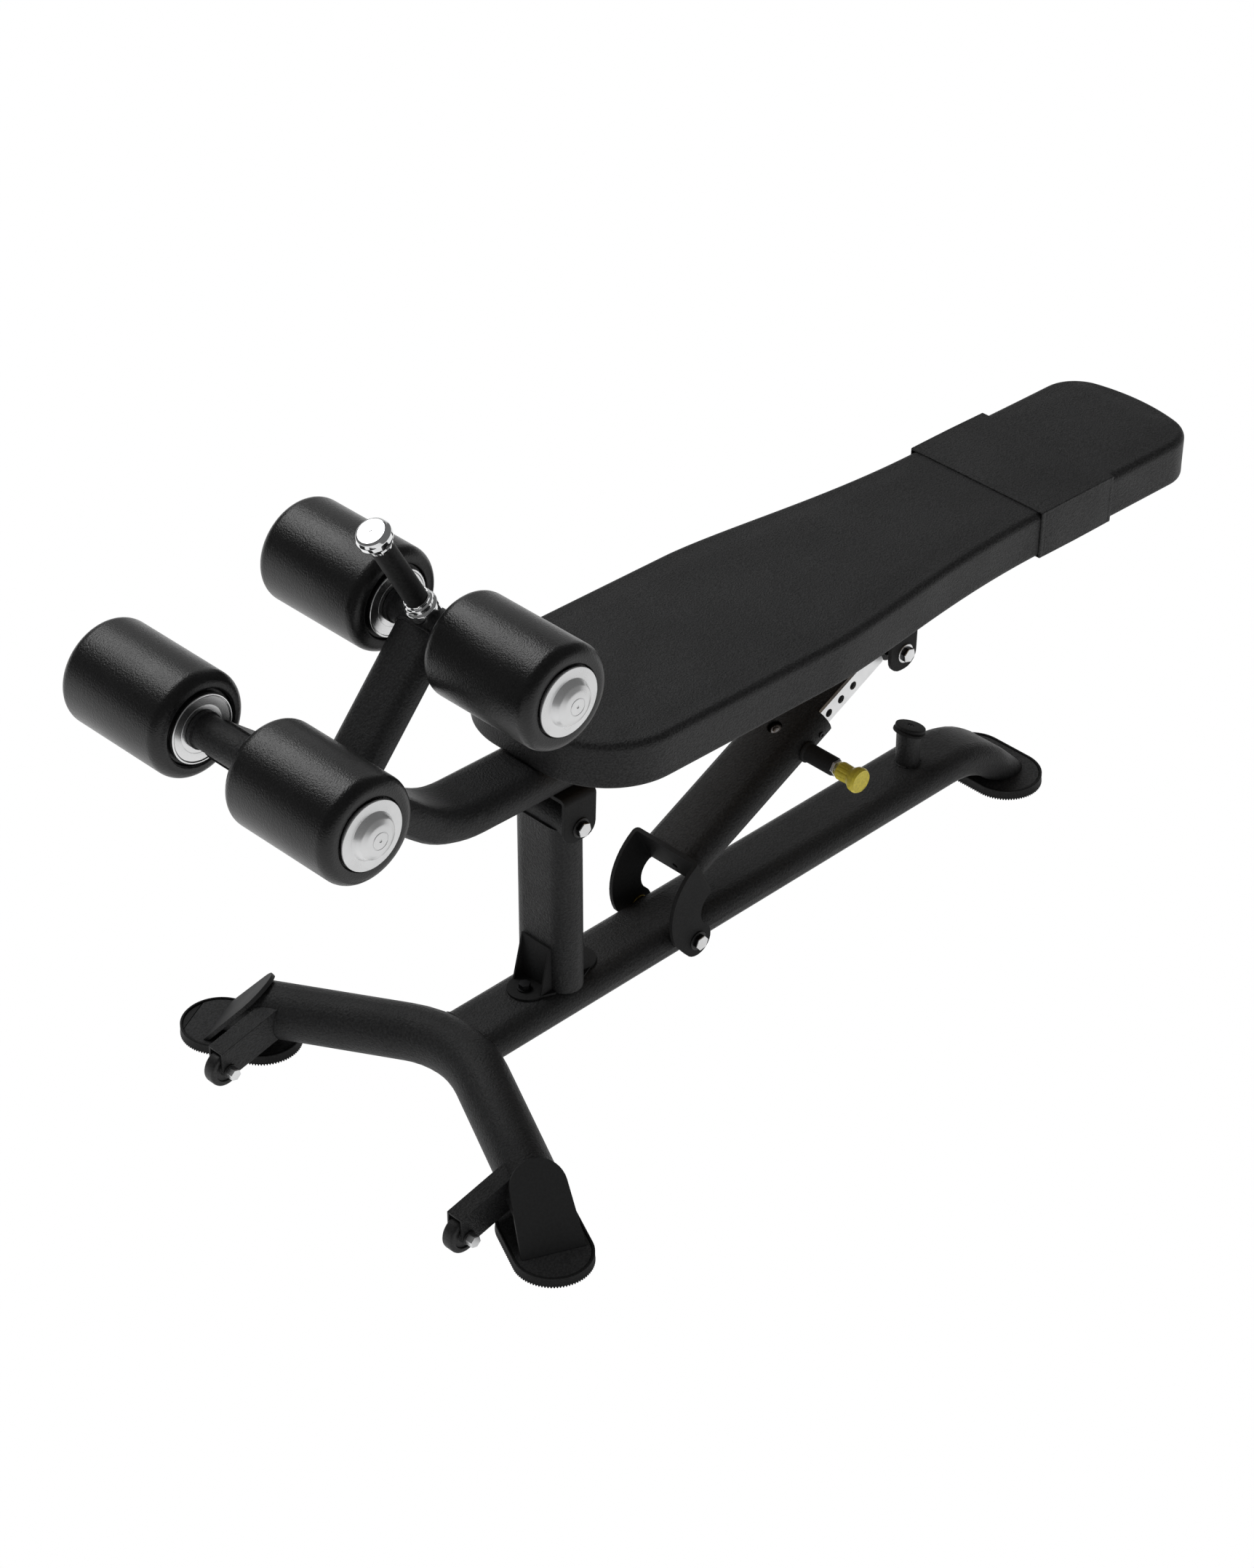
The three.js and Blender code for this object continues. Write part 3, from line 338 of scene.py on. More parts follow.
def lathe(name, corners, matrix, body, slot, replaces=(), pieces=72, wave=None, material=None, steps=5):
    """A body turned about Y from corners (radius, y, rounding), a closed profile.

    wave = (count, depth, y_low, y_high) flutes the outside between two values of y."""
    flutes, flute_depth, flute_low, flute_high = wave or (0, 0, 0, 0)
    bore = 9
    profile = rounded(corners, steps)
    points = []
    for i in range(pieces):
        angle = 2 * math.pi * i / pieces
        for radius, y in profile:
            if flute_low < y < flute_high and radius > bore:
                radius -= flute_depth * (0.5 + 0.5 * math.cos(flutes * angle)) ** 3
            points.append((radius * math.cos(angle), y, radius * math.sin(angle)))
    faces = rings_to_faces(len(profile), pieces, True)
    return build(name, points, faces, matrix, body, slot, replaces, material)


def stadium(width, height, steps=16):
    reach = (width - height) / 2
    radius = height / 2
    points = []
    for side in (1, -1):
        for i in range(steps + 1):
            angle = math.pi * (i / steps - 0.5) + (0 if side > 0 else math.pi)
            points.append(Vector((side * reach + radius * math.cos(angle), radius * math.sin(angle))))
    return points


def offset_ring(points, distance):
    """A closed outline moved outwards by a distance, or inwards where it is negative."""
    count = len(points)
    moved_points = []
    for i, point in enumerate(points):
        run = points[(i + 1) % count] - points[i - 1]
        normal = Vector((run.y, -run.x)).normalized()
        moved_points.append(point + normal * distance)
    return moved_points


def resampled(points, pitch, count=None):
    """Even steps along a closed outline."""
    loop = points + [points[0]]
    lengths = [0.0]
    for first, second in zip(loop, loop[1:]):
        lengths.append(lengths[-1] + (second - first).length)
    count = count or round(lengths[-1] / pitch)
    result = []
    k = 0
    for i in range(count):
        target = lengths[-1] * i / count
        while lengths[k + 1] < target:
            k += 1
        share = (target - lengths[k]) / max(lengths[k + 1] - lengths[k], 1e-9)
        result.append(loop[k].lerp(loop[k + 1], share))
    return result


# ---- Weld beads ----

trees = {}


def surface_of(node):
    if node not in trees:
        mesh = nodes[node].data
        trees[node] = BVHTree.FromPolygons(
            [v.co for v in mesh.vertices], [p.vertices for p in mesh.polygons],
        )
    return trees[node]


def bead(name, path, body, radius=2.6, closed=True):
    """A rippled bead of weld metal along points in metres."""
    sides = 8
    points = []
    count = len(path)
    for i, at_point in enumerate(path):
        ahead = path[(i + 1) % count] if closed or i + 1 < count else at_point
        behind = path[i - 1] if closed or i else at_point
        along = (ahead - behind).normalized()
        across = along.orthogonal().normalized()
        up = along.cross(across)
        size = radius * MM * (1 + 0.14 * math.sin(2.1 * i))
        for k in range(sides):
            angle = 2 * math.pi * k / sides
            points.append(at_point + (across * math.cos(angle) + up * math.sin(angle)) * size)
    faces = rings_to_faces(sides, count, closed)
    if not closed:
        faces += [tuple(range(sides)), tuple(range((count - 1) * sides, count * sides))]
    return build(name, points, faces, Matrix(), body, "black_powder_coat", sharp=80)


def weld(name, outline, matrix, node, body, radius=2.6, closed=True):
    """A bead where an outline in x and y, cast along -z of the matrix, meets a node."""
    start = matrix.translation
    down = (matrix.to_3x3() @ Vector((0, 0, -1))).normalized()
    path = []
    for x, y in outline:
        hit = surface_of(node).ray_cast(matrix @ Vector((x, y, 0)), down)[0]
        if hit is not None and (hit - start).length < 0.3:
            path.append(hit)
    dense = [path[0]]
    for point in path[1:] + ([path[0]] if closed else []):
        steps = max(1, round((point - dense[-1]).length / 0.0022))
        last = dense[-1]
        dense += [last.lerp(point, k / steps) for k in range(1, steps + 1)]
    if closed:
        dense.pop()
    return bead(name, dense, body, radius, closed)


# ---- Frame tubes and plates ----

for name in (
    "spine_tube", "front_leg_tube", "front_post", "main_tube", "upper_post", "strut_tube", "slider_tube",
    "lower_cross_tube", "upper_cross_tube",
):
    dress(name, 0.6)
for name in ("pivot_bracket", "strut_bracket", "strut_yoke", "post_bracket_front", "post_bracket_rear"):
    dress(name, 0.9, plate_coat)
for name in ("wheel_bracket_left", "wheel_bracket_right"):
    dress(name, 0.9)
# The foot plates take the lighter coat of painted top light.
for name in ("foot_plate_rear", "foot_plate_right"):
    dress(name, 0.9, foot_coat_painted_light)


def smooth_leg_caps(mesh):
    """The slanted caps at the leg ends have a smoother coat than the tube, and their lighter tone is
    painted light from above.
    """
    nearest_cap_y = 0.2
    least_slant = 0.3
    mesh.materials.append(leg_cap_smooth_coat_painted_light)
    for face in mesh.polygons:
        side = 1 if face.center.y > 0 else -1
        out = Vector((-math.cos(LEG_HEADING), side * math.sin(LEG_HEADING), 0))
        if abs(face.center.y) > nearest_cap_y and abs(face.normal.dot(out)) > least_slant:
            face.material_index = 1


smooth_leg_caps(bpy.data.objects["v_front_leg_tube"].data)
for name in ("bumper_post", "beam_end_plug", "pad_board", "index_strip", "handle_stem", "pin_plunger"):
    dress(name, 0.5)
for name in ("strut_bush_left", "strut_bush_right", "pin_nut", "post_bolt_front", "post_bolt_rear"):
    dress(name, 0.7)


def along(x, z, toward_x, toward_z):
    """A frame at x and z whose -z runs toward a second point, with its x along Y."""
    down = math.atan2(toward_x - x, -(toward_z - z))
    return moved(x, 0, z) @ Matrix.Rotation(-down, 4, "Y") @ turned(90, "Z")


oval = stadium(TUBE_WIDE, TUBE_HIGH)
post_oval = stadium(POST_WIDE, POST_HIGH)
weld("weld_spine_leg", oval, BASE @ along(-60, SPINE_AXIS, -200, SPINE_AXIS), "front_leg_tube", "base")
weld("weld_strut_yoke", oval, STRUT @ along(140, STRUT_AXIS, 0, STRUT_AXIS), "strut_yoke", "strut", 2.2)
weld("weld_post_beam", post_oval, BENCH @ along(*UPPER_TUBE, *UPPER_POST), "main_tube", "bench")
weld(
    "weld_post_cross", post_oval, BENCH @ along(*UPPER_POST, *UPPER_TUBE), "upper_cross_tube",
    "bench", 2.0,
)
weld("weld_beam_cross", oval, BENCH @ along(-400, 230.7, *LOWER_TUBE), "lower_cross_tube", "bench", 2.2)
BUMPER_BEAD = 17.5
bumper_ring = [
    Vector((BUMPER_BEAD * math.cos(a / 8 * math.pi), BUMPER_BEAD * math.sin(a / 8 * math.pi)))
    for a in range(16)
]
weld("weld_bumper", bumper_ring, BASE @ moved(BUMPER_X, 0, 140), "spine_tube", "base", 2.0)

# ---- Bolts: chamfered hexagons on round washers ----


def hexagon(name, matrix, flat, start, end, body, slot, turn):
    """A hexagonal prism along Y with chamfered corners at its end."""
    points = []
    radius = flat / math.cos(math.pi / 6)
    rows = ((start, 1.0), (end - 0.7, 1.0), (end, 0.94))  # y and share of the radius
    for y, share in rows:
        for k in range(6):
            angle = math.pi * k / 3 + turn
            points.append((radius * share * math.cos(angle), y, radius * share * math.sin(angle)))
    faces = rings_to_faces(6, 3) + [tuple(range(6)), tuple(range(12, 18))]
    return ease_edges(build(name, points, faces, matrix, body, slot), 0.35)


def bolt(name, matrix, body, node, washer_slot, flank_slot, reach, washer, flat, height, nut=None):
    """Head and nut of one through bolt: washers, hexagons and end faces.

    reach is the distance from the middle to a washer, and nut the height of a low dark nut."""
    face_slot = "zinc_steel"
    for label, side in (("head", -1), ("nut", 1)):
        if nut and side > 0:
            flank_slot, face_slot, height = "dark_bolts", "dark_bolts", nut
        end = matrix @ (turned(180, "Z") if side < 0 else Matrix())
        tag = f"{name}_{label}"
        replaces = (node,) if side < 0 else ()
        seat = reach + 0.2
        low = reach + 2.4
        top = reach + height
        face = top - 1.4
        profile = [(4, seat, 0), (washer, seat, 0), (washer, low, 0.8), (4, low, 0)]
        lathe(f"{tag}_washer", profile, end, body, washer_slot, replaces, 48)
        hexagon(f"{tag}_flanks", end, flat, low, face, body, flank_slot, 0.3)
        hexagon(f"{tag}_face", end, flat * 0.995, face, top, body, face_slot, 0.3)


for name, matrix, body, node, washer_slot, reach in (
    ("bolt_pivot", BENCH, "base", "pivot_bolt", "wheel_plastic", 57),
    ("bolt_lug", BENCH @ moved(STRUT_LUG_X, 0, 0), "bench", "strut_lug_bolt", "zinc_steel", 57),
    ("bolt_strut", STRUT, "base", "strut_pivot_bolt", "wheel_plastic", 60),
):
    bolt(name, matrix, body, node, washer_slot, "dark_bolts", reach, washer=14, flat=9.6, height=9.8)
for side_name, side in SIDES:
    matrix = BASE @ moved(WHEEL[0], side * WHEEL[1], WHEEL[2])
    bolt(
        f"bolt_wheel_{side_name}", matrix, "base", f"wheel_bolt_{side_name}", "wheel_plastic",
        "zinc_steel", 13.5, washer=10, flat=7.6, height=13.4, nut=6.2,
    )

# ---- Transport wheels ----

for side_name, side in SIDES:
    matrix = BASE @ moved(WHEEL[0], side * WHEEL[1], WHEEL[2])
    lathe(f"tyre_{side_name}", [
        (4.3, -9.3, 0), (9.5, -9.3, 0.8), (10.5, -6.8, 0.6), (17.5, -6.8, 1), (18.5, -9.3, 0.8),
        (26, -9.3, 3.5), (26, 9.3, 3.5), (18.5, 9.3, 0.8), (17.5, 6.8, 1), (10.5, 6.8, 0.6),
        (9.5, 9.3, 0.8), (4.3, 9.3, 0),
    ], matrix, f"wheel_{side_name}_body", "wheel_plastic", (f"wheel_{side_name}",), 80, steps=3)

# ---- Feet: rubber cups with a rim and a toothed edge, and steel plates in them ----

SOLE = {"length": 170, "width": 106, "height": 15.5, "floor": 6, "rim": 4}
SOLE_TOE = SOLE["length"] / 2 - 15
TOOTH = {"pitch": 3.9, "height": 2.3}


def foot(name, matrix, toe_cut):
    """A sole, and for a foot cut straight at the toe its plate and the rubber beyond it."""
    outline = resampled(stadium(SOLE["length"], SOLE["width"], 40), TOOTH["pitch"] / 4)
    count = len(outline) - len(outline) % 4
    outline = resampled(outline, None, count)
    base_ring = offset_ring(outline, -7)
    low = [0.0 if i % 4 < 2 else TOOTH["height"] for i in range(count)]
    rows = [
        [(p.x, p.y, z) for p, z in zip(base_ring, low)],
        [(p.x, p.y, z) for p, z in zip(outline, low)],
        [(p.x, p.y, 3.2) for p in offset_ring(outline, -0.4)],
    ]
    rim = SOLE["rim"]
    high = SOLE["height"]
    for inset, z in (
        (0.4, high - 1), (1.2, high), (rim - 0.8, high), (rim, high - 0.8), (rim, SOLE["floor"]),
    ):
        rows.append([(p.x, p.y, z) for p in offset_ring(outline, -inset)])
    points = [p for row in rows for p in row]
    faces = rings_to_faces(count, len(rows))
    points.append((0, 0, 1.4))
    points.append((0, 0, SOLE["floor"]))
    last = (len(rows) - 1) * count
    for i in range(count):
        j = (i + 1) % count
        faces.append((i, j, len(points) - 2))
        faces.append((last + i, last + j, len(points) - 1))
    build(f"sole_{name}", points, faces, matrix, "base", "black_rubber", (f"foot_sole_{name}",))
    if not toe_cut:
        return
    toe = [p for p in offset_ring(outline, -rim - 0.3) if p.x > SOLE_TOE + 1]
    toe.sort(key=lambda p: p.y)
    count = len(toe)
    points = [(p.x, p.y, z) for z in (SOLE["floor"], 12.9) for p in toe]
    faces = rings_to_faces(count, 2) + [tuple(range(count)), tuple(range(count, 2 * count))]
    ease_edges(build(f"toe_{name}", points, faces, matrix, "base", "black_rubber"), 0.8)
    # The toe-cut plate also takes the lighter coat of painted top light.
    plate = dress(f"foot_plate_{name}", 0.8, foot_coat_painted_light)
    work = bmesh.new()
    work.from_mesh(plate.data)
    outward = (matrix.to_3x3() @ Vector((1, 0, 0))).normalized()
    cut_at = matrix @ Vector((SOLE_TOE, 0, 0))
    found = bmesh.ops.bisect_plane(
        work, geom=work.verts[:] + work.edges[:] + work.faces[:], plane_co=cut_at, plane_no=outward,
        clear_outer=True,
    )
    edges = [g for g in found["geom_cut"] if isinstance(g, bmesh.types.BMEdge)]
    bmesh.ops.edgeloop_fill(work, edges=edges)
    work.to_mesh(plate.data)
    work.free()
    finish_mesh(plate.data)


foot_x = LEG_X - FRONT_FOOT_REACH * math.cos(LEG_HEADING)
foot_y = FRONT_FOOT_REACH * math.sin(LEG_HEADING)
for side_name, side in SIDES:
    heading = side * (math.pi - LEG_HEADING)
    matrix = BASE @ moved(foot_x, side * foot_y, 0) @ Matrix.Rotation(heading, 4, "Z")
    foot(side_name, matrix, side > 0)
foot("rear", BASE @ moved(REAR_FOOT_X, 0, 0) @ turned(90, "Z"), False)

# ---- Bumper cap ----

BUMPER_SEAT = 153
BUMPER_UP = BASE @ moved(BUMPER_X, 0, BUMPER_SEAT) @ turned(18.5, "Y") @ turned(90, "X")
lathe("bumper_flange", [
    (0.01, 0.1, 0), (18.5, 0.1, 0), (23.5, 1.4, 1.2), (23.5, 5, 1.4), (20.8, 6, 0.4), (20.9, 6.8, 0.3),
    (22, 7.6, 0.5), (22, 12, 1.6), (5, 12.5, 0.3), (3.9, 10.6, 0.3), (0.01, 10.4, 0),
], BUMPER_UP, "base", "black_rubber", ("bumper_cap",))
lathe("bumper_screw", [
    (0.01, 10.1, 0), (3.4, 10.1, 0), (3.4, 11.6, 0.6), (1.6, 11.9, 0.2), (1.2, 11.1, 0.1),
    (0.01, 11.1, 0),
], BUMPER_UP, "base", "dark_bolts", (), 36)

# ---- Pop-pin, drawn along Y away from the strut ----

PIN = STRUT @ moved(PIN_X, 0, STRUT_AXIS) @ turned(180, "X")
lathe("pin_sleeve", [
    (5.9, 50.3, 0), (15.4, 50.3, 0.5), (15.4, 53.6, 1.6), (13.3, 55.6, 0.8), (13.3, 101.3, 1.2),
    (5.9, 101.3, 0),
], PIN, "strut", "black_powder_coat", ("pin_barrel",), 64, material=plate_coat)
lathe("pull_knob", [
    (5.9, 111.2, 0), (12, 111.2, 0.8), (13, 113.6, 1.2), (12.3, 131, 4), (17.4, 139, 3),
    (18.3, 145.6, 3.2), (16, 149.8, 0.8), (14.6, 149.2, 0.5), (0.01, 149, 0), (0.01, 127.4, 0),
    (5.9, 127.4, 0),
], PIN, "pin", "yellow_plastic", ("pin_knob",), 144, (12, 0.6, 112.5, 133))

# ---- Strut screws and the guide in the strut's open end ----

lathe("strut_screw", [
    (0.01, 0.2, 0), (9.2, 0.2, 0), (9.2, 3.4, 1.4), (4.6, 4.4, 0.4), (4.2, 1.8, 0.2), (0.01, 1.6, 0),
], STRUT @ moved(PIN_X - 1.4, 0, STRUT_AXIS + 14.6) @ turned(90, "X"), "strut", "dark_bolts",
    pieces=48, material=dull_steel)
lathe("strut_set_screw", [
    (0.01, 49.6, 0), (4.6, 49.6, 0), (4.6, 51.4, 0.8), (2.4, 51.6, 0.2), (2.2, 50.2, 0.1),
    (0.01, 50.2, 0),
], STRUT @ moved(313, 0, STRUT_AXIS) @ turned(180, "X"), "strut", "dark_bolts", (), 36)


def loop_from(outline, count, reach):
    """A closed outline in even steps, starting at its point nearest (reach, 0)."""
    loop = resampled(outline, None, count)
    start = min(range(count), key=lambda i: (loop[i] - Vector((reach, 0))).length)
    return loop[start:] + loop[:start]


def guide():
    """A plastic guide that fills the strut's mouth round the slider and its strip."""
    count = 160
    deep, flush = STRUT_END - 30, STRUT_END - 0.8
    outer = loop_from(stadium(TUBE_WIDE - 6.6, TUBE_HIGH - 6.6), count, 46.7)
    hole = rounded([(-36.2, -15.2, 3), (31.2, -15.2, 3), (31.2, 15.2, 3), (-36.2, 15.2, 3)])
    inner = loop_from(hole, count, 33)
    points = []
    for x, loop in ((deep, outer), (flush, outer), (flush, inner), (deep, inner)):
        points += [(x, p.x, STRUT_AXIS + p.y) for p in loop]
    build("strut_guide", points, rings_to_faces(count, 4, True), STRUT, "strut", "wheel_plastic")


guide()

# ---- Handle ----

HANDLE = BENCH @ moved(UPPER_TUBE[0] + HANDLE_AHEAD, 0, UPPER_TUBE[1])
HANDLE = HANDLE @ Matrix.Rotation(-HANDLE_LEAN, 4, "Y") @ turned(90, "X")
lathe("grip_collar", [
    (9.9, 8, 0), (19.7, 8, 0), (19.7, 26.6, 0.4), (21.2, 28.4, 1.4), (21.2, 35.4, 2), (18.2, 37.6, 0.6),
    (18.2, 39, 0.4), (19.2, 40.2, 0.8), (18.8, 44, 1.6), (16.9, 46, 0.8), (17, 48.6, 0.8),
    (16.2, 50.4, 0.4), (15.2, 50, 0.2), (15.2, 47, 0), (9.9, 47, 0),
], HANDLE, "bench", "chrome", ("handle_collar",), 96)
lathe("grip_tube", [
    (9.9, 47.3, 0), (14.9, 47.3, 0.3), (15.1, 54, 4), (15.1, 156, 4), (14.9, 159, 0.3), (9.9, 159, 0),
], HANDLE, "bench", "grip_rubber", ("handle_grip",), 96)
lathe("grip_cap", [
    (9.9, 159.3, 0), (16, 159.3, 0.6), (16.3, 163, 1), (15.2, 165.4, 0.8), (15.2, 167, 0.6),
    (17.2, 168.2, 0.6), (17, 169.8, 0.6), (21.8, 171.6, 2.6), (23.1, 176, 3), (23.1, 182.4, 3.4),
    (20.6, 187.6, 2.4), (17.6, 189.2, 0.6), (1.6, 189.3, 0.2), (1.2, 188.2, 0.1), (0.01, 188.2, 0),
    (0.01, 170, 0), (9.9, 170, 0),
], HANDLE, "bench", "chrome", ("handle_cap",), 96)

# ---- Leg rollers: foam with recessed ends, a dished cap outside and a disc inside ----

INNER = 58.2  # the foam's two ends, from the middle of the bench
OUTER = 240.7
for level, (x, z) in (("lower", LOWER_TUBE), ("upper", UPPER_TUBE)):
    for side_name, side in SIDES:
        matrix = BENCH @ moved(x, 0, z) @ (Matrix() if side > 0 else turned(180, "Z"))
        body = f"roller_{level}_{side_name}_body"
        tag = f"{level}_{side_name}"
        foam = lathe(f"foam_{tag}", [
            (22.9, INNER + 7, 0), (50, INNER + 7, 1.5), (50, INNER + 0.4, 3.5), (70.5, INNER, 16),
            (70.5, OUTER, 16), (47.2, OUTER - 0.4, 2), (47.2, OUTER - 7, 1.5), (22.9, OUTER - 7, 0),
        ], matrix, body, "roller_vinyl", (f"roller_foam_{tag}",), 120, steps=10)
        lathe(f"cap_{tag}", [
            (0.01, 241, 0), (24, 241, 0), (24, 235, 0), (40, 235, 0), (40, 241, 0.6), (45.2, 241, 0.6),
            (45.7, 242, 0.6), (45.5, 244.3, 1), (31.4, 244.3, 1), (29.3, 248.6, 2.2), (26.4, 253, 5),
            (19, 256.8, 12), (11.9, 257.9, 0.3), (11.5, 257.2, 0.15), (11, 257.2, 0.15),
            (10.6, 258, 0.3), (2.2, 258.2, 0.3), (1.5, 257, 0.2), (0.01, 256.9, 0),
        ], matrix, body, "satin_cap", (f"roller_cap_{tag}",), 120)
        lathe(f"disc_{tag}", [
            (22.9, INNER - 1.6, 0), (31, INNER - 1.6, 0.1), (31.2, INNER - 1.3, 0.1),
            (31.6, INNER - 1.3, 0.1), (31.8, INNER - 1.6, 0.1), (42.4, INNER - 1.6, 0.6),
            (43.4, INNER - 2.8, 1), (45.8, INNER - 2.8, 1.2), (45.8, INNER + 2, 0.4),
            (40, INNER + 2, 0), (40, INNER + 6, 0), (22.9, INNER + 6, 0),
        ], matrix, body, "satin_cap", (f"roller_disc_{tag}",), 120, material=disc_metal)

# ---- Pad: a taut cover on foam, its flat faces slightly crowned ----

PAD = {
    "seat_end": -58.4, "head_end": 1163.3, "bottom": 102.2, "top": 169, "seat_half": 157,
    "head_half": 118.6, "taper_start": 356.6, "taper_end": 805, "seat_corner": 115,
    "head_corner": 62, "head_bulge": 285, "edge": 11,
}
BOARD_INSET = 12
BOARD_TOP = 112
SLEEVE_X = 883.6
SLEEVE_HALF = 75.5


def half_width(x):
    along_taper = min(max((x - PAD["taper_start"]) / (PAD["taper_end"] - PAD["taper_start"]), 0), 1)
    share = (1 + math.cos(math.pi * along_taper**0.8)) / 2
    return PAD["head_half"] + (PAD["seat_half"] - PAD["head_half"]) * share


def arc(x, y, radius, start, end, steps):
    angles = (start + (end - start) * i / steps for i in range(steps + 1))
    return [Vector((x + radius * math.cos(a), y + radius * math.sin(a))) for a in angles]


def pad_outline(spacing):
    """Even points round the pad, from the middle of its head end."""
    head, seat, bulge = PAD["head_corner"], PAD["seat_corner"], PAD["head_bulge"]
    corner_y = PAD["head_half"] - head
    meet = math.asin(corner_y / (bulge - head))
    centre_x = PAD["head_end"] - bulge
    half = arc(centre_x, 0, bulge, 0, meet, 20)
    half += arc(centre_x + (bulge - head) * math.cos(meet), corner_y, head, meet, math.pi / 2, 40)
    for i in range(121):
        x = PAD["taper_end"] + (PAD["taper_start"] - PAD["taper_end"]) * i / 120
        half.append(Vector((x, half_width(x))))
    half += arc(PAD["seat_end"] + seat, PAD["seat_half"] - seat, seat, math.pi / 2, math.pi, 40)
    half.append(Vector((PAD["seat_end"], 0)))
    mirrored = [Vector((p.x, -p.y)) for p in reversed(half[1:-1])]
    loop = half + mirrored
    length = sum((b - a).length for a, b in zip(loop, loop[1:] + loop[:1]))
    return resampled(loop, None, 4 * round(length / spacing / 4))


def smooth(value):
    value = min(max(value, 0), 1)
    return value * value * (3 - 2 * value)


def fill_up(piece, held, caps):
    """Blows the cover out by cloth pressure, each point by no more than its cap."""
    last_frame = 20
    rest = [v.co.copy() for v in piece.data.vertices]
    group = piece.vertex_groups.new(name="held")
    group.add(held, 1.0, "REPLACE")
    cloth = piece.modifiers.new("cloth", "CLOTH")
    settings = cloth.settings
    settings.use_pressure = True
    settings.uniform_pressure_force = 4
    settings.effector_weights.gravity = 0
    settings.vertex_group_mass = "held"
    settings.quality = 4
    cloth.collision_settings.use_self_collision = False
    cloth.point_cache.frame_end = last_frame
    for step in range(1, last_frame + 1):
        scene.frame_set(step)
    blown = piece.evaluated_get(bpy.context.evaluated_depsgraph_get()).to_mesh()
    goal = [v.co.copy() for v in blown.vertices]
    piece.modifiers.remove(cloth)
    for vertex, start, end, cap in zip(piece.data.vertices, rest, goal, caps):
        reach = (end - start).length
        if reach > 1e-7:
            vertex.co = start + (end - start) * (cap * math.tanh(reach / max(cap, 1e-7)) / reach)
    piece.vertex_groups.remove(group)
    scene.frame_set(1)


def make_pad():
    """The cover as rows (inset, z) round the outline, closed by grids at both ends."""
    outline = pad_outline(6)
    count = len(outline)
    edge, low = PAD["edge"], PAD["bottom"]
    side_low = low + 4
    side_high = PAD["top"] - edge
    board_face = BOARD_TOP - 0.2
    rows = [
        (BOARD_INSET, board_face), (BOARD_INSET, low + 0.4), (BOARD_INSET - 0.5, low),
        (4, low), (1.2, low + 1.2), (0, side_low),
    ]
    rows += [(0, side_low + (side_high - side_low) * i / 9) for i in range(1, 10)]
    for i in range(1, 8):
        angle = math.pi / 2 * i / 7
        rows.append((edge * (1 - math.cos(angle)), side_high + edge * math.sin(angle)))
    points = []
    for inset, z in rows:
        points += [(p.x, p.y, z) for p in offset_ring(outline, -inset)]
    faces = rings_to_faces(count, len(rows))
    grid_over(points, faces, (len(rows) - 1) * count, count, PAD["top"])
    grid_over(points, faces, 0, count, board_face)
    return build("pad_cover", points, faces, BENCH, "bench", "black_vinyl", ("seat_pad",), sharp=50)


def grid_over(points, faces, first, count, z):
    """Closes a ring of points by a grid of quads, blended between its four sides."""
    across = 36
    long_side = count // 2 - across
    ring = [Vector(points[first + i][:2]) for i in range(count)]
    half = across // 2
    index = {}
    for i in range(across + 1):
        index[0, i] = (i - half) % count
        index[long_side, i] = (half + long_side + across - i) % count
    for k in range(long_side + 1):
        index[k, across] = (half + k) % count
        index[k, 0] = (-half - k) % count
    for k in range(1, long_side):
        for i in range(1, across):
            u, v = k / long_side, i / across
            left, right = ring[index[k, 0]], ring[index[k, across]]
            near, far = ring[index[0, i]], ring[index[long_side, i]]
            corners = (
                ring[index[0, 0]] * (1 - u) * (1 - v) + ring[index[0, across]] * (1 - u) * v
                + ring[index[long_side, 0]] * u * (1 - v) + ring[index[long_side, across]] * u * v
            )
            spot = left * (1 - v) + right * v + near * (1 - u) + far * u - corners
            index[k, i] = len(points) - first
            points.append((spot.x, spot.y, z))
    for k in range(long_side):
        for i in range(across):
            quad = ((k, i), (k + 1, i), (k + 1, i + 1), (k, i + 1))
            faces.append(tuple(first + index[c] for c in quad))


def most_fill(point):
    """How far in metres the cover may fill out: most on the top, clear of sleeve and edges."""
    clear = smooth((abs(point.x - SLEEVE_X) - SLEEVE_HALF - 2) / 60)
    near_edge = min(
        half_width(point.x) - abs(point.y), point.x - PAD["seat_end"], PAD["head_end"] - point.x,
    )
    flat = smooth((near_edge - 6) / 40) if point.z > PAD["top"] - 1 else 0.1
    return (0.1 + 1.5 * clear * flat) * MM


pad = make_pad()
to_bench = BENCH.inverted()
held = []
caps = []
for vertex in pad.data.vertices:
    local = to_bench @ vertex.co
    if local.z < PAD["bottom"] + 6:
        held.append(vertex.index)
    caps.append(most_fill(local))
fill_up(pad, held, caps)
subdivision = pad.modifiers.new("fine", "SUBSURF")
subdivision.levels = 1
subdivision.render_levels = 1

# ---- Sleeve round the pad ----


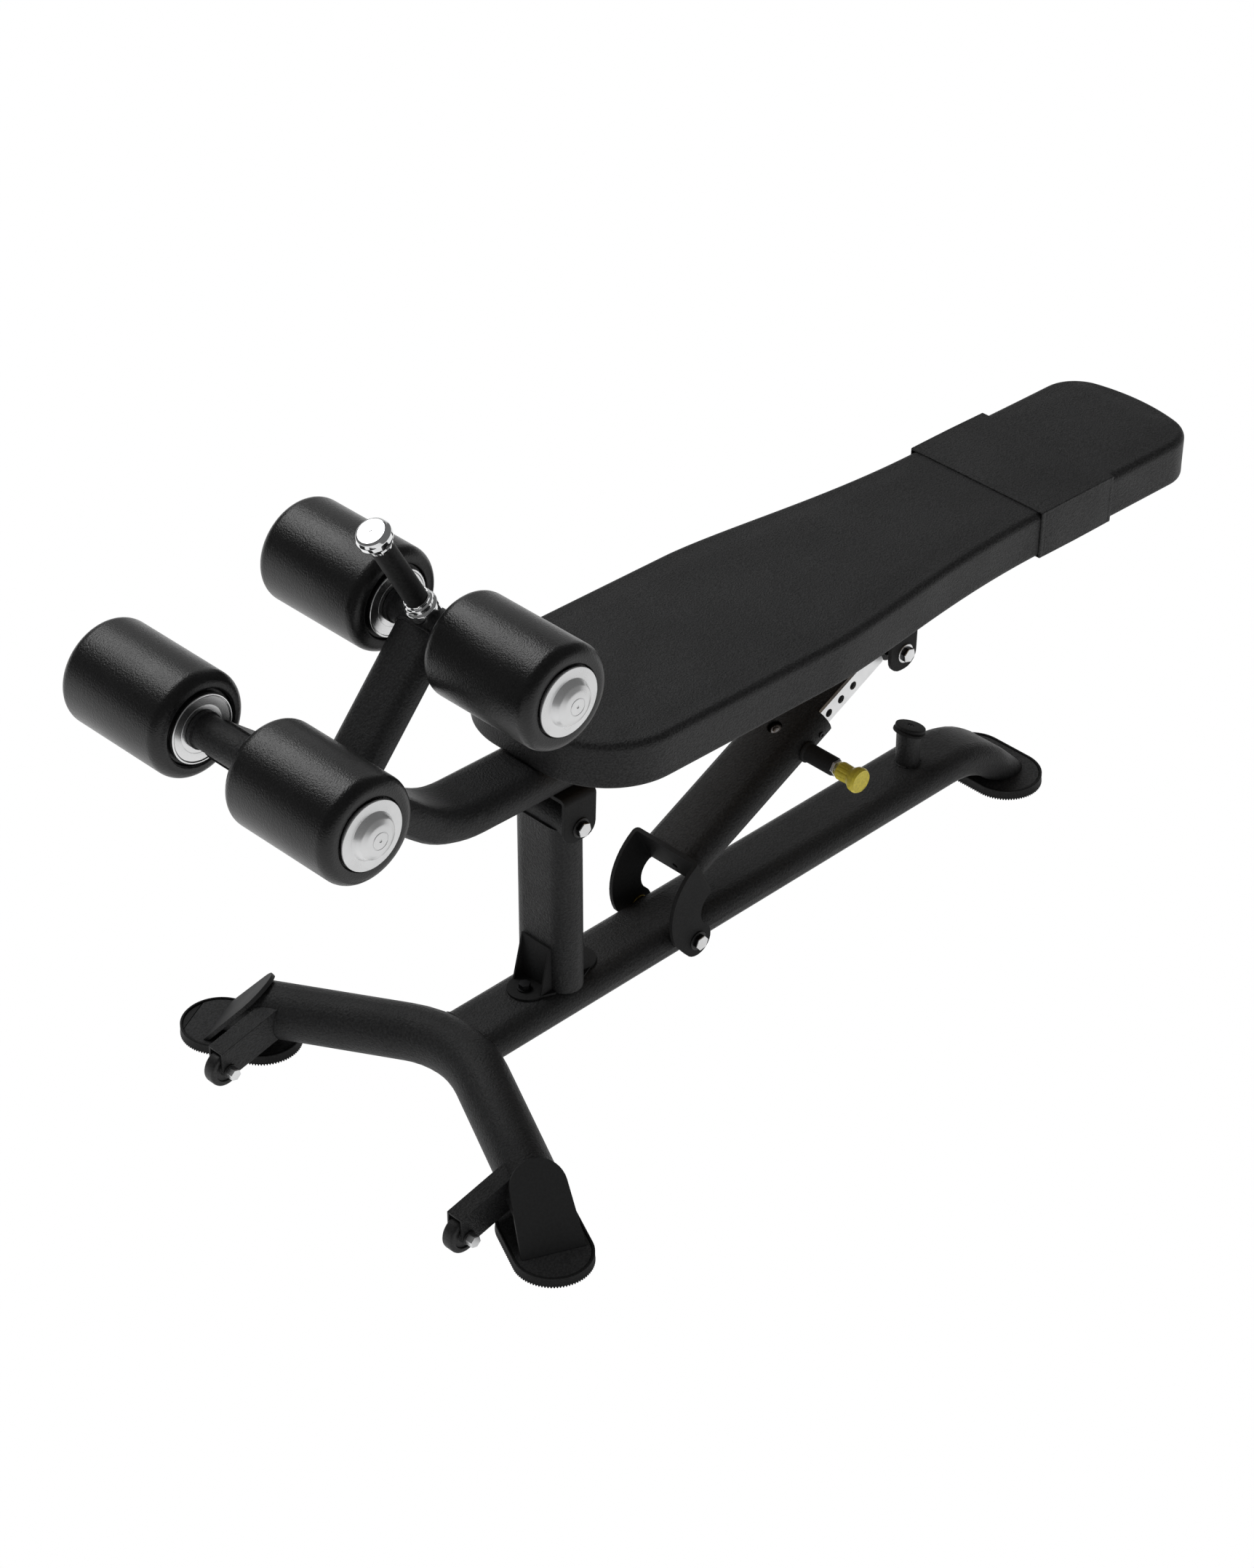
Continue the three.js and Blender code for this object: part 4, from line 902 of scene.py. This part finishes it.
def make_sleeve():
    """A folded band, open underneath, with rolled hems at its two edges."""
    half = PAD["head_half"]
    flap_end = 56

    def section(offset, corner):
        wide = half + offset
        top = PAD["top"] + offset
        low = PAD["bottom"] - offset
        fold = max(corner - 1, 0.4)
        corners = [(-wide, low, fold), (-wide, top, corner), (wide, top, corner), (wide, low, fold)]
        return rounded(corners, 8)

    edge = SLEEVE_HALF
    outer_rows = (
        (-edge, 0.9), (-edge + 0.4, 1.9), (-edge + 1.6, 2.5), (-edge + 6.5, 2.5), (-edge + 7.4, 2.2),
        (-edge + 8.4, 2.5), (-30, 2.7), (0, 2.8), (30, 2.7), (edge - 8.4, 2.5), (edge - 7.4, 2.2),
        (edge - 6.5, 2.5), (edge - 1.6, 2.5), (edge - 0.4, 1.9), (edge, 0.9), (edge, 0.35),
        (0, 0.35), (-edge, 0.35),
    )
    points = []
    for x, offset in outer_rows:
        path = section(offset, 1.3 if offset > 0.4 else 0.8)
        low = PAD["bottom"] - offset
        run = [Vector((-flap_end, low))] + path + [Vector((flap_end, low))]
        points += [(SLEEVE_X + x, p.x, p.y) for p in run]
    count = len(points) // len(outer_rows)
    faces = []
    rows = len(outer_rows)
    for row in range(rows):
        for i in range(count - 1):
            low = row * count
            high = ((row + 1) % rows) * count
            faces.append((low + i, low + i + 1, high + i + 1, high + i))
    faces.append(tuple(row * count for row in range(rows)))
    faces.append(tuple(row * count + count - 1 for row in range(rows)))
    return build("sleeve_band", points, faces, BENCH, "bench", "sleeve_vinyl", ("pad_sleeve",), sharp=50)


sleeve = make_sleeve()

# ---- Stage ----

FLOOR_HALF = 30  # metres
FLOOR_TONE = (0.86, 0.86, 0.86)
FLOOR_GLOW = 0.62
WORLD_GLOW = 0.14


def lit_white(node, strength):
    node.inputs["Color"].default_value = (1, 1, 1, 1)
    node.inputs["Strength"].default_value = strength
    return node.outputs[0]


def seen_white(tree, kind, plain, surface):
    """Shows the camera pure white and gives every other ray the plain shader."""
    path = tree.nodes.new("ShaderNodeLightPath")
    either = tree.nodes.new("ShaderNodeMixShader")
    tree.links.new(path.outputs["Is Camera Ray"], either.inputs["Fac"])
    tree.links.new(plain, either.inputs[1])
    tree.links.new(lit_white(tree.nodes.new(kind), 1.0), either.inputs[2])
    tree.links.new(either.outputs["Shader"], surface)


corners = [(x * FLOOR_HALF, y * FLOOR_HALF, 0) for x, y in ((-1, -1), (1, -1), (1, 1), (-1, 1))]
floor_mesh = bpy.data.meshes.new("floor")
floor_mesh.from_pydata(corners, [], [(0, 1, 2, 3)])
floor = bpy.data.objects.new("floor", floor_mesh)
scene.collection.objects.link(floor)
floor.location.z = -0.0005
white, tree, bsdf = shader("floor_white", FLOOR_TONE, 0.9)
both = tree.nodes.new("ShaderNodeAddShader")
tree.links.new(bsdf.outputs["BSDF"], both.inputs[0])
tree.links.new(lit_white(tree.nodes.new("ShaderNodeEmission"), FLOOR_GLOW), both.inputs[1])
floor_surface = tree.nodes["Material Output"].inputs["Surface"]
seen_white(tree, "ShaderNodeEmission", both.outputs["Shader"], floor_surface)
floor_mesh.materials.append(white)

world = bpy.data.worlds.new("studio")
scene.world = world
world.use_nodes = True
tree = world.node_tree
dim = lit_white(tree.nodes["Background"], WORLD_GLOW)
seen_white(tree, "ShaderNodeBackground", dim, tree.nodes["World Output"].inputs["Surface"])


def softbox(name, direction, distance, size, radiance):
    """A rectangular area light aimed at the bench, of an even brightness."""
    light = bpy.data.lights.new(name, "AREA")
    light.shape = "RECTANGLE"
    light.size, light.size_y = size
    light.energy = radiance * math.pi * size[0] * size[1]
    lamp = bpy.data.objects.new(name, light)
    aim = Vector((0, 0, 0.4))
    lamp.location = aim + Vector(direction).normalized() * distance
    lamp.rotation_mode = "QUATERNION"
    lamp.rotation_quaternion = (aim - lamp.location).to_track_quat("-Z", "Y")
    scene.collection.objects.link(lamp)


softbox("key", (-0.1, 0.59, 0.8), 5.1, (3.3, 1.95), 4.7)
softbox("back", (0.6, 0.68, 0.48), 7.5, (8.2, 5.0), 0.42)

# ---- Camera ----

camera = bpy.data.cameras.new("camera")
camera.lens = 98.13
camera.sensor_width = 36
camera.clip_end = 100
eye = bpy.data.objects.new("camera", camera)
eye.location = BASE @ Vector((-3056.9, -3240.6, 3584.5))
target = BASE @ Vector((138.96, -0.95, 344.52))
eye.rotation_mode = "QUATERNION"
eye.rotation_quaternion = (target - eye.location).to_track_quat("-Z", "Y")
scene.collection.objects.link(eye)
scene.camera = eye
scene.view_settings.view_transform = "Standard"
